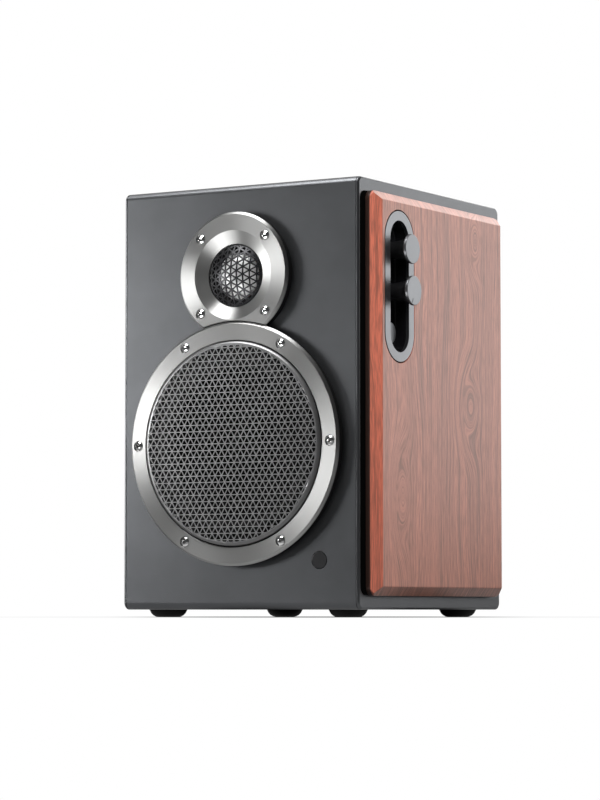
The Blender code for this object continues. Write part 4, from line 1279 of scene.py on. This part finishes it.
@dataclass
class DriverBase:
    """The black figure-of-eight spacer under both trim rings.

    Attributes:
        ease: How far its rim is eased.
        woofer_hole: The radius of its hole for the woofer.
        tweeter_hole: The radius of its hole for the tweeter.
        lobe: The radius of its upper lobe.
    """

    ease: float = 0.4 * MM
    woofer_hole: float = 56.1 * MM
    tweeter_hole: float = 25.6 * MM
    lobe: float = 34 * MM

    def build(self) -> None:
        """Model the spacer."""
        woofer = Site.at("woofer_trim_ring", Face.FRONT)
        tweeter = Site.at("tweeter_grille", Face.FRONT)
        low, high = woofer.reach("driver_base")
        large = woofer.extent("driver_base")[0] / 2
        corners = [
            Corner(large, high, self.ease),
            Corner(large, low),
            Corner(self.woofer_hole, low),
            Corner(self.woofer_hole, high),
        ]
        base = Shape.lathed(corners, 160, True).as_object("driver_spacer", woofer)
        carve(base, Shape.prism(self.lobe, low, high, 128), tweeter, "UNION")
        bore(base, woofer, self.woofer_hole, (low, high), 160)
        bore(base, tweeter, self.tweeter_hole, (low, high), 96)
        for node in SCREWS:
            bore(base, Site.at(node, Face.FRONT), SCREW_BORE, (low, high), 16)
        fit(base, MATT, "cabinet", "driver_base")


SCREW_SEAT = (
    (0, 1),
    (3.15, 1),
    (3.15, 0.1),
    (3.0, -0.05),
    (3.0, -0.8),
    (1.8, -0.8),
    (1.8, -6),
    (0, -6),
)


def sink_screws(made: bpy.types.Object, top: float, nodes: Iterable[str]) -> None:
    """Bore and sink the seats of screws in a trim piece.

    Args:
        made: The piece.
        top: The height of its face.
        nodes: The screws' CAD nodes.
    """
    for node in nodes:
        carve(made, Shape.turned(in_mm(SCREW_SEAT, top), 40), Site.at(node, Face.FRONT))


@dataclass
class Woofer:
    """The woofer with its trim ring and pierced grille.

    Attributes:
        hole: The radius of the trim ring's hole.
        chamfer: The chamfer on the ring's outer rim.
        curl: The radius of the grille's rolled rim.
        sheet: The thickness of the grille.
        lattice: The side of the grille's triangles and the width of its strands.
        lip: The surround's glued lip, as radii and heights in millimetres.
        cone: The cone's profile, in the same way.
        site: Where the woofer stands.
    """

    hole: float = 56.1 * MM
    chamfer: float = 1.3 * MM
    curl: float = 2 * MM
    sheet: float = 0.35 * MM
    lattice: Point = (4.0 * MM, 0.47 * MM)
    lip: tuple[Point, ...] = ((50.6, 1), (54.2, 1), (54.2, 0.1))
    cone: tuple[Point, ...] = ((42, -0.6), (42, -1.6), (13.7, -19.2), (13.7, -18.2))
    site: Site = field(default_factory=lambda: Site.at("woofer_trim_ring", Face.FRONT))

    def build(self) -> None:
        """Model every piece of the woofer that shows, and dress the rest."""
        self.trim_ring()
        self.grille()
        self.diaphragm()
        dress_nodes(BLACK_STEEL, "woofer_basket")
        dress_nodes(COPPER, "woofer_voice_coil")
        dress_nodes(CLOTH, "woofer_spider")
        dress_nodes(ZINC, "woofer_top_plate", "woofer_yoke")
        dress_nodes(FERRITE, "woofer_magnet")

    def trim_ring(self) -> None:
        """The turned ring with its chamfered rim and six screw seats."""
        low, high = self.site.reach("woofer_trim_ring")
        radius = self.site.extent("woofer_trim_ring")[0] / 2
        corners = [
            Corner(radius - self.chamfer, high, 0.12 * MM),
            Corner(radius, high - self.chamfer, 0.12 * MM),
            Corner(radius, low),
            Corner(self.hole, low),
            Corner(self.hole, high - 0.3 * MM, 0.08 * MM),
            Corner(self.hole + 0.3 * MM, high, 0.08 * MM),
        ]
        ring = Shape.lathed(corners, 192, True, 3).as_object("woofer_ring", self.site)
        sink_screws(ring, high, WOOFER_SCREWS)
        map_turning(ring, self.site)
        fit(ring, STEEL, "cabinet", "woofer_trim_ring")

    def grille(self) -> None:
        """The pierced sheet, its rim rolled down inside the ring."""
        low, high = self.site.reach("woofer_grille")
        radius = self.site.extent("woofer_grille")[0] / 2
        bend = radius - self.curl
        lattice = Lattice(bend, *self.lattice)
        shape = lattice.sheet().moved(z=high)
        roll = arch_points(bend, self.curl, high - self.curl, 12)
        rings = roll[6::-1] + [(radius, low)]
        lattice.skirt(shape, rings)
        grille = shape.closed().as_object("woofer_mesh", self.site)
        thicken(grille, self.sheet)
        fit(grille, GRILLE, "cabinet", "woofer_grille")

    def diaphragm(self) -> None:
        """The roll surround, the cone and the dust cap."""
        middle = 46.5 * MM
        foot = 0.1 * MM
        roll = arch_points(middle, 4.1 * MM, foot, 12)[:0:-1]
        under = arch_points(middle, 3.5 * MM, foot, 12)
        surround = Shape.turned(roll + in_mm(self.lip) + under, 128, True)
        fit(surround.as_object("woofer_roll", self.site), RUBBER, "cabinet", "woofer_surround")
        cone = Shape.turned(in_mm(self.cone), 128, True).as_object("woofer_paper_cone", self.site)
        fit(cone, PAPER, "woofer_diaphragm", "woofer_cone")
        skin = cap_points(-11.5 * MM, 15.5 * MM, 5 * MM)
        skin += cap_points(-12.3 * MM, 14.7 * MM, 4.7 * MM)[::-1]
        cap = Shape.turned(skin, 96).as_object("woofer_cap", self.site)
        fit(cap, PAPER, "woofer_diaphragm", "woofer_dust_cap")


@dataclass
class Tweeter:
    """The tweeter behind its face plate and domed guard.

    Attributes:
        funnel: The radius of the funnel's mouth.
        throat: The radius of its throat.
        throat_height: The height of its throat.
        throat_lip: The thickness of the plate at its throat.
        hole: The radius of the plate's hole behind the funnel.
        rise: How far the guard bulges.
        lattice: The side of the guard's triangles and the width of its strands.
        sheet: The thickness of the guard.
        chamfer: The chamfer on the plate's outer rim.
        gap: The gap between the plate and the woofer's ring.
        site: Where the tweeter stands.
    """

    funnel: float = 24.4 * MM
    throat: float = 17.3 * MM
    throat_height: float = 3.4 * MM
    throat_lip: float = 0.8 * MM
    hole: float = 25.6 * MM
    rise: float = 5.6 * MM
    lattice: Point = (4.15 * MM, 0.74 * MM)
    sheet: float = 0.5 * MM
    chamfer: float = 1.3 * MM
    gap: float = 0.45 * MM
    site: Site = field(default_factory=lambda: Site.at("tweeter_grille", Face.FRONT))

    def build(self) -> None:
        """Model every piece of the tweeter that shows, and dress the rest."""
        self.face_plate()
        self.guard()
        self.dome()
        dress_nodes(PLASTIC, "tweeter_chassis")
        dress_nodes(COPPER, "tweeter_voice_coil")
        dress_nodes(FERRITE, "tweeter_motor")

    def face_plate(self) -> None:
        """The turned plate: a funnel in its middle and a bite for the woofer's ring."""
        low, high = self.site.reach("woofer_trim_ring")
        radius = self.site.extent("tweeter_face_plate")[0] / 2
        corners = [
            Corner(radius - self.chamfer, high, 0.12 * MM),
            Corner(radius, high - self.chamfer, 0.12 * MM),
            Corner(radius, low),
            Corner(self.hole, low),
            Corner(self.throat, self.throat_height - self.throat_lip),
            Corner(self.throat, self.throat_height, 0.1 * MM),
            Corner(self.funnel, high, 0.15 * MM),
        ]
        plate = Shape.lathed(corners, 160, True, 3).as_object("tweeter_plate", self.site)
        woofer = Site.at("woofer_trim_ring", Face.FRONT)
        bore(plate, woofer, woofer.extent("woofer_trim_ring")[0] / 2 + self.gap, (low, high), 192)
        sink_screws(plate, high, TWEETER_SCREWS)
        map_turning(plate, self.site)
        fit(plate, STEEL, "cabinet", "tweeter_face_plate")

    def guard(self) -> None:
        """The pierced dome over the diaphragm."""
        low, high = self.site.reach("tweeter_grille")
        rim = self.site.extent("tweeter_grille")[0] / 2
        lattice = Lattice(rim - 0.3 * MM, *self.lattice)
        shape = lattice.sheet().spun(math.pi / 2)
        ball = (rim**2 + self.rise**2) / (2 * self.rise)
        for vert in shape.mesh.verts:
            vert.co.z = high - ball + math.sqrt(max(ball**2 - vert.co.x**2 - vert.co.y**2, 0))
        lattice.skirt(shape, [(rim, high - self.rise - 0.2 * MM), (rim, low)])
        guard = shape.closed().as_object("tweeter_guard", self.site)
        thicken(guard, self.sheet)
        fit(guard, BLACK_STEEL, "cabinet", "tweeter_grille")

    def dome(self) -> None:
        """The metal dome and its roll surround."""
        skin = cap_points(5.1 * MM, 12.9 * MM, 5 * MM, 16)
        skin += cap_points(4.7 * MM, 12.5 * MM, 4.85 * MM, 16)[::-1]
        made = Shape.turned(skin, 96).as_object("tweeter_metal_dome", self.site)
        fit(made, DOME, "tweeter_diaphragm", "tweeter_dome")
        middle = 14.4 * MM
        foot = 0.1 * MM
        roll = arch_points(middle, 1.2 * MM, foot, 10)[::-1] + arch_points(middle, 0.8 * MM, foot, 10)
        made = Shape.turned(roll, 96, True).as_object("tweeter_roll", self.site)
        fit(made, RUBBER, "cabinet", "tweeter_surround")


@dataclass
class ReceiverWindow:
    """The smoked window over the remote control's receiver."""

    def build(self) -> None:
        """Model the window as a flush lens with an eased rim."""
        site, low, high, radius = seat("ir_window", Face.FRONT)
        corners = [Corner(0, high), Corner(radius, high, 0.25 * MM), Corner(radius, low), Corner(0, low)]
        lens = Shape.lathed(corners, 64).as_object("receiver_lens", site)
        fit(lens, SMOKED, "cabinet", "ir_window")


@dataclass
class Controls:
    """The control slot in the right cheek, with two knobs and a push button.

    Attributes:
        mouth: The length and width of the bezel's opening.
        floor: The height of the tray's floor.
        wall: The thickness of the tray's wall.
        flange: The thickness of the flange round the tray.
        holes: The radius of the tray's hole for each shaft, by CAD node.
        disc: The thickness of a knob's metal disc.
        flare: A knob's neck, as shares of its radius and of its height.
        seat: The radius and height of the blind hole for an encoder's shaft.
        site: Where the controls stand.
    """

    mouth: Point = (71.3 * MM, 20.5 * MM)
    floor: float = -0.8 * MM
    wall: float = 1.6 * MM
    flange: float = 1.5 * MM
    holes: tuple[tuple[str, float], ...] = (
        ("knob_volume", 3.6 * MM),
        ("knob_tone", 3.6 * MM),
        ("select_button", 2.3 * MM),
    )
    disc: float = 1.6 * MM
    flare: tuple[Point, ...] = (
        (0.9, 0.97),
        (0.8, 0.9),
        (0.72, 0.8),
        (0.65, 0.66),
        (0.6, 0.5),
        (0.57, 0.3),
        (0.55, 0),
    )
    seat: Point = (2.8 * MM, 12.4 * MM)
    site: Site = field(default_factory=lambda: Site.at("control_bezel", Face.RIGHT))

    def build(self) -> None:
        """Model the controls and dress what they are mounted on."""
        self.bezel()
        self.tray()
        self.knob("knob_volume", "volume_knob")
        self.knob("knob_tone", "tone_knob")
        self.button()
        dress_nodes(ZINC, "encoder_volume", "encoder_tone")
        dress_nodes(PLASTIC, "button_switch")
        dress_nodes(BOARD, "control_board")

    def bezel(self) -> None:
        """The metal surround of the slot."""
        low, high = self.site.reach("control_bezel")
        shape = Shape.stadium(*self.site.extent("control_bezel"), low, high, 128)
        bezel = shape.bevelled(level(high), 0.2 * MM, 3).as_object("control_surround", self.site)
        carve(bezel, Shape.stadium(*self.mouth, low - OVERSHOOT, high + OVERSHOOT, 128), self.site)
        fit(bezel, SILVER, "cabinet", "control_bezel")

    def tray(self) -> None:
        """The dark well behind the bezel, with a hole for each shaft."""
        low, high = self.site.reach("control_tray")
        long, wide = [side + 0.3 * MM for side in self.mouth]
        thick = 2 * self.wall
        tray = Shape.stadium(long + thick, wide + thick, low, high, 128).as_object("control_well", self.site)
        outer = self.site.extent("control_tray")
        carve(tray, Shape.stadium(*outer, high - self.flange, high, 128), self.site, "UNION")
        pocket = Shape.stadium(long, wide, self.floor, high + 2 * OVERSHOOT, 128)
        carve(tray, pocket.bevelled(level(self.floor), 0.8 * MM, 4), self.site)
        for node, radius in self.holes:
            carve(tray, Shape.prism(radius, low - OVERSHOOT, high, 40), Site.at(node, Face.RIGHT))
        fit(tray, GLOSS, "cabinet", "control_tray")

    def knob(self, node: str, body: str) -> None:
        """A metal disc on a black flared neck.

        Args:
            node: The knob's CAD node.
            body: The body that turns.
        """
        site, low, high, radius = seat(node, Face.RIGHT)
        shoulder = high - self.disc
        corners = [
            Corner(0, high),
            Corner(radius, high, 0.4 * MM),
            Corner(radius, shoulder, 0.15 * MM),
            Corner(0, shoulder),
        ]
        cap = Shape.lathed(corners, 128).as_object(node + "_disc", site)
        if node == "knob_tone":
            pointer = Shape.block(2.6 * MM, 0.7 * MM, high - 0.15 * MM, high + OVERSHOOT)
            carve(cap, pointer.moved(x=radius - 1.9 * MM).spun(math.radians(-22)), site)
        map_turning(cap, site)
        fit(cap, SILVER, body, node)
        top = shoulder - 0.02 * MM
        neck = [(0, top), (0.93 * radius, top)]
        neck += [(share * radius, low + rise * (shoulder - low)) for share, rise in self.flare]
        shaft, depth = self.seat
        neck += [(shaft, low), (shaft, depth), (0, depth)]
        fit(Shape.turned(neck, 96).as_object(node + "_neck", site), PLASTIC_SATIN, body)

    def button(self) -> None:
        """The round push button on its stem."""
        site, low, high, radius = seat("select_button", Face.RIGHT)
        under = high - 1.9 * MM
        stem = 2 * MM
        corners = [
            Corner(0, high),
            Corner(radius, high, 0.4 * MM),
            Corner(radius, under),
            Corner(stem, under),
            Corner(stem, low),
            Corner(0, low),
        ]
        button = Shape.lathed(corners).as_object("select_disc", site)
        fit(button, SILVER, "select_button", "select_button")


@dataclass
class Back:
    """The connection panel and everything on it.

    Attributes:
        face: The height of the panel's face.
        port_hole: The radius of the panel's hole for the port.
        phono_hole: The radius of its hole for a phono socket.
        windows: The width and length of its openings, by the CAD node that goes in.
        port_outside: The radius of the port's tube.
        port_inside: The radius of the port's bore.
        port_mouth: The radius of the port's mouth.
        pin: The radius of a mains pin.
        pin_ends: The far and near end of a mains pin.
    """

    face: float = 0.3 * MM
    port_hole: float = 17.1 * MM
    phono_hole: float = 4.6 * MM
    windows: tuple[tuple[str, Point], ...] = (
        ("terminal_block", (30 * MM, 20 * MM)),
        ("mains_inlet", (50 * MM, 23 * MM)),
    )
    port_outside: float = 16.8 * MM
    port_inside: float = 15.2 * MM
    port_mouth: float = 17.8 * MM
    pin: float = 1.2 * MM
    pin_ends: Point = (-1 * MM, -12.05 * MM)

    def build(self) -> None:
        """Model the panel and its fittings."""
        self.panel()
        self.port()
        self.phono("input_socket_red", RED)
        self.phono("input_socket_white", WHITE)
        self.terminals()
        self.inlet()
        self.rocker()

    def panel(self) -> None:
        """The steel panel with its cut-outs."""
        site = Site.at("rear_panel", Face.BACK)
        low, high = site.reach("rear_panel")
        shape = Shape.block(*site.extent("rear_panel"), low, high)
        shape.bevelled(upright, 3 * MM, 6).bevelled(level(high), 0.3 * MM, 2)
        panel = shape.as_object("connection_panel", site)
        bore(panel, Site.at("port_tube", Face.BACK), self.port_hole, (low, high), 96)
        for node in ("input_socket_red", "input_socket_white"):
            bore(panel, Site.at(node, Face.BACK), self.phono_hole, (low, high))
        for node, size in self.windows:
            window = Shape.block(*size, low - OVERSHOOT, high + OVERSHOOT)
            carve(panel, window, Site.at(node, Face.BACK))
        fit(panel, BLACK_STEEL, "cabinet", "rear_panel")

    def port(self) -> None:
        """The reflex port with its flared mouth."""
        site, low, high, flange = seat("port_tube", Face.BACK)
        corners = [
            Corner(flange - 1.5 * MM, high, 0.5 * MM),
            Corner(flange, high - 0.8 * MM, 0.3 * MM),
            Corner(flange, self.face),
            Corner(self.port_outside, self.face),
            Corner(self.port_outside, low),
            Corner(self.port_inside, low),
            Corner(self.port_inside, -3.4 * MM, 3 * MM),
            Corner(self.port_mouth, high, 1 * MM),
        ]
        port = Shape.lathed(corners, 96, True).as_object("reflex_port", site)
        fit(port, PLASTIC_SATIN, "cabinet", "port_tube")

    def phono(self, node: str, finish: Finish) -> None:
        """A phono socket: a plated barrel in a coloured collar.

        Args:
            node: Its CAD node.
            finish: The collar's colour.
        """
        site, low, high, flange = seat(node, Face.BACK)
        collar = [
            Corner(4.0 * MM, 1.6 * MM),
            Corner(flange, 1.6 * MM, 0.4 * MM),
            Corner(flange, self.face),
            Corner(4.3 * MM, self.face),
            Corner(4.3 * MM, low),
            Corner(4.0 * MM, low),
        ]
        ring = Shape.lathed(collar, 48, True).as_object(node + "_collar", site)
        fit(ring, finish, "cabinet", node)
        barrel = [
            Corner(1.7 * MM, high - 0.8 * MM),
            Corner(3.4 * MM, high - 0.8 * MM),
            Corner(3.4 * MM, high),
            Corner(4.15 * MM, high, 0.3 * MM),
            Corner(4.15 * MM, 1.62 * MM),
            Corner(3.9 * MM, 1.62 * MM),
            Corner(3.9 * MM, low + 0.5 * MM),
            Corner(1.7 * MM, low + 0.5 * MM),
        ]
        made = Shape.lathed(barrel, 48, True).as_object(node + "_barrel", site)
        fit(made, ZINC, "cabinet")

    def housing(self, node: str, name: str, site: Site) -> bpy.types.Object:
        """A moulding that fills one of the panel's openings.

        Args:
            node: Its CAD node.
            name: The object's name.
            site: Where it stands.

        Returns:
            The moulding.
        """
        low, high = site.reach(node)
        shape = Shape.block(*site.extent(node), self.face, high)
        shape.bevelled(upright, 2 * MM, 5).bevelled(level(high), 0.4 * MM, 3)
        made = shape.as_object(name, site)
        size = [side - 1 * MM for side in dict(self.windows)[node]]
        carve(made, Shape.block(*size, low, self.face + OVERSHOOT), site, "UNION")
        return made

    def terminals(self) -> None:
        """The spring terminal block and its two levers."""
        site = Site.at("terminal_block", Face.BACK)
        high = site.reach("terminal_block")[1]
        block = self.housing("terminal_block", "terminal_housing", site)
        for side in (-1, 1):
            hole = site.shifted(side * 8 * MM, 7 * MM)
            bore(block, hole, 1.4 * MM, (-5 * MM, high), 32)
        fit(block, PLASTIC, "cabinet", "terminal_block")
        self.lever("terminal_lever_red", RED, "lever_red")
        self.lever("terminal_lever_black", PLASTIC_SATIN, "lever_black")

    def lever(self, node: str, finish: Finish, body: str) -> None:
        """One spring lever.

        Args:
            node: Its CAD node.
            finish: Its surface.
            body: The body that it is.
        """
        site = Site.at(node, Face.BACK)
        low, high = site.reach(node)
        shape = Shape.block(*site.extent(node), low, high)
        shape.bevelled(upright, 0.7 * MM, 4).bevelled(level(high), 0.4 * MM, 3)
        fit(shape.as_object(node + "_tab", site), finish, body, node)

    def inlet(self) -> None:
        """The two-pin mains inlet, and the well that the power switch sits in."""
        site = Site.at("mains_inlet", Face.BACK)
        high = site.reach("mains_inlet")[1]
        module = self.housing("mains_inlet", "mains_module", site)
        socket = site.shifted(-13 * MM, 0)
        carve(module, Shape.stadium(19 * MM, 9.4 * MM, -12 * MM, high + OVERSHOOT), socket)
        well = site.shifted(14 * MM, 0)
        carve(module, Shape.block(13.6 * MM, 19.8 * MM, -6 * MM, high + OVERSHOOT), well)
        fit(module, PLASTIC, "cabinet", "mains_inlet")
        tip, root = self.pin_ends
        corners = [Corner(0, tip), Corner(self.pin, tip, 0.5 * MM), Corner(self.pin, root), Corner(0, root)]
        for name, offset in (("inlet_pin_left", -4.2 * MM), ("inlet_pin_right", 4.2 * MM)):
            pin = Shape.lathed(corners, 24).as_object(name, socket.shifted(offset, 0))
            fit(pin, ZINC, "cabinet")

    def rocker(self) -> None:
        """The switch's rocker, resting on its off side: the CAD solid with its edges eased."""
        shape = Shape()
        shape.mesh.from_mesh(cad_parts["power_rocker"].data)
        verts, edges = shape.mesh.verts, shape.mesh.edges
        bmesh.ops.remove_doubles(shape.mesh, verts=verts, dist=WELD)
        bmesh.ops.dissolve_limit(shape.mesh, angle_limit=0.01, verts=verts, edges=edges)
        shape.bevelled(lambda edge: True, 0.5 * MM, 3)
        fit(shape.linked("rocker_cap"), PLASTIC_SATIN, "power_rocker", "power_rocker")


@dataclass
class Insides:
    """The amplifier and its supply, which stay as built."""

    def build(self) -> None:
        """Dress the nodes."""
        dress_nodes(BOARD, "amp_board")
        dress_nodes(SILVER, "heat_sink")
        dress_nodes(FERRITE, "transformer")


@dataclass(frozen=True)
class Softbox:
    """A rectangular light that faces a point.

    Attributes:
        name: Its name.
        place: Where it stands.
        size: Its width and height.
        power: Its power in watts.
        aim: The point it faces.
        spread: How wide its beam is, in degrees.
        mirrored: Whether shiny surfaces mirror it.
    """

    name: str
    place: Place
    size: Point
    power: float
    aim: Place = (0.0, 0.0, 0.12)
    spread: float = 180.0
    mirrored: bool = True

    def build(self) -> None:
        """Hang the light."""
        light = bpy.data.lights.new(self.name, "AREA")
        light.shape = "RECTANGLE"
        light.size, light.size_y = self.size
        light.energy = self.power
        light.spread = math.radians(self.spread)
        made = bpy.data.objects.new(self.name, light)
        made.location = self.place
        facing = Vector(self.aim) - Vector(self.place)
        made.rotation_euler = facing.to_track_quat("-Z", "Y").to_euler()
        made.visible_camera = False
        made.visible_glossy = self.mirrored
        bpy.context.scene.collection.objects.link(made)


@dataclass
class Studio:
    """A white sweep, softboxes and the camera.

    Attributes:
        lights: The softboxes.
        fill: The strength of the room's own light.
        lens: The camera's focal length in millimetres.
        eye: Where the camera stands.
        look: Its turn about X and about Z, in degrees.
    """

    lights: tuple[Softbox, ...] = (
        Softbox("top_softbox", (-0.1, 0.25, 1.3), (1.6, 1.3), 7),
        Softbox("rear_softbox", (-0.1, 0.95, 0.65), (0.8, 0.5), 4.2, (0.05, 0.0, 0.22)),
        Softbox("rear_right_softbox", (0.55, 0.85, 0.32), (0.9, 0.5), 3.4, (0.08, 0.0, 0.14)),
        Softbox("left_softbox", (-0.82, -0.64, 0.215), (0.38, 0.25), 5.8, (0.0, -0.08, 0.14)),
        Softbox("low_softbox", (-0.06, -0.30, 0.01), (0.3, 0.14), 0.16, (0.0, -0.08, 0.19), spread=60),
        Softbox("front_softbox", (-0.25, -0.48, 1.1), (0.6, 0.5), 15.0, (0.0, -0.08, 0.18)),
        Softbox("right_softbox", (1.05, -0.6, 0.8), (0.5, 0.5), 15.5, mirrored=False),
    )
    fill: float = 0.06
    lens: float = 139.43
    eye: Place = (0.8856, -1.50275, 0.00404)
    look: Point = (93.873, 30.949)

    def build(self) -> None:
        """Set up the light, the floor and the camera."""
        for light in self.lights:
            light.build()
        self.surroundings()
        self.floor()
        self.camera()
        bpy.context.scene.view_settings.view_transform = "Standard"

    def surroundings(self) -> None:
        """A white background and a soft fill."""
        world = bpy.data.worlds.new("white_room")
        world.use_nodes = True
        graph = Graph(world.node_tree)
        back = world.node_tree.nodes["Background"]
        seen = graph.add("ShaderNodeLightPath").outputs["Is Camera Ray"]
        graph.feed(back.inputs["Strength"], graph.between(seen, 0.0, 1.0, self.fill, 1.0))
        back.inputs["Color"].default_value = (1, 1, 1, 1)
        bpy.context.scene.world = world

    def floor(self) -> None:
        """The white surface that the speaker stands on: to the camera a white glow with a painted grey
        contact shadow close round the speaker, and to reflections a ring that glows, a painted light.
        """
        shape = Shape()
        bmesh.ops.create_grid(shape.mesh, x_segments=8, y_segments=8, size=4.0)
        floor = shape.linked("white_floor")
        made = bpy.data.materials.new("white_floor")
        made.use_nodes = True
        graph = Graph(made.node_tree)
        shader = made.node_tree.nodes["Principled BSDF"]
        drift = graph.group(tone_drift(), {"Scale": 2.0}).outputs["Drift"]
        path = graph.add("ShaderNodeLightPath")
        seen = path.outputs["Is Camera Ray"]
        sweep = graph.mix(drift, (0.13, 0.13, 0.13, 1), (0.15, 0.15, 0.15, 1))
        graph.feed(shader.inputs["Base Color"], graph.mix(seen, sweep, (0, 0, 0, 1)))
        graph.feed(shader.inputs["Roughness"], graph.between(drift, 0.0, 1.0, 0.7, 0.75))
        shader.inputs["Specular IOR Level"].default_value = 0.0
        away = graph.add("ShaderNodeVectorMath", {0: graph.object_place()}, operation="LENGTH")
        away = away.outputs["Value"]
        # Painted shadow: the glow that the camera sees is dim close round the speaker and full further out.
        near = graph.between(away, 0.08, 0.13, 0.06, 0.9)
        far = graph.between(away, 0.1, 0.3, 0.0, 0.1)
        backdrop_with_painted_shadow = graph.times(seen, graph.plus(near, far))
        # Painted light: a ring of floor round the speaker that glows only in reflections.
        painted_glow_ring = graph.times(graph.between(away, 0.07, 0.09), graph.between(away, 0.17, 0.12))
        mirrored = graph.times(path.outputs["Is Glossy Ray"], painted_glow_ring)
        shader.inputs["Emission Color"].default_value = (1, 1, 1, 1)
        glow = graph.plus(backdrop_with_painted_shadow, graph.times(mirrored, 0.4))
        graph.feed(shader.inputs["Emission Strength"], glow)
        floor.data.materials.append(made)

    def camera(self) -> None:
        """The camera, low and to the right of the speaker's front."""
        lens = bpy.data.cameras.new("view")
        lens.lens = self.lens
        lens.sensor_width = 36.0
        camera = bpy.data.objects.new("view", lens)
        camera.location = self.eye
        tilt, heading = self.look
        camera.rotation_euler = (math.radians(tilt), 0, math.radians(heading))
        bpy.context.scene.collection.objects.link(camera)
        bpy.context.scene.camera = camera


def main() -> None:
    """Build the speaker and the studio round it."""
    logging.basicConfig(level=logging.INFO, format="%(name)s: %(message)s")
    Cabinet().build()
    Cheek(Face.RIGHT, "wood_panel_right", WALNUT_RIGHT, 5 * MM).build()
    Cheek(Face.LEFT, "wood_panel_left", WALNUT_LEFT, 4 * MM).build()
    Feet().build()
    DriverBase().build()
    Woofer().build()
    Tweeter().build()
    for node in SCREWS:
        Screw(node).build()
    ReceiverWindow().build()
    Controls().build()
    Back().build()
    Insides().build()
    Studio().build()


if __name__ == "__main__":
    main()
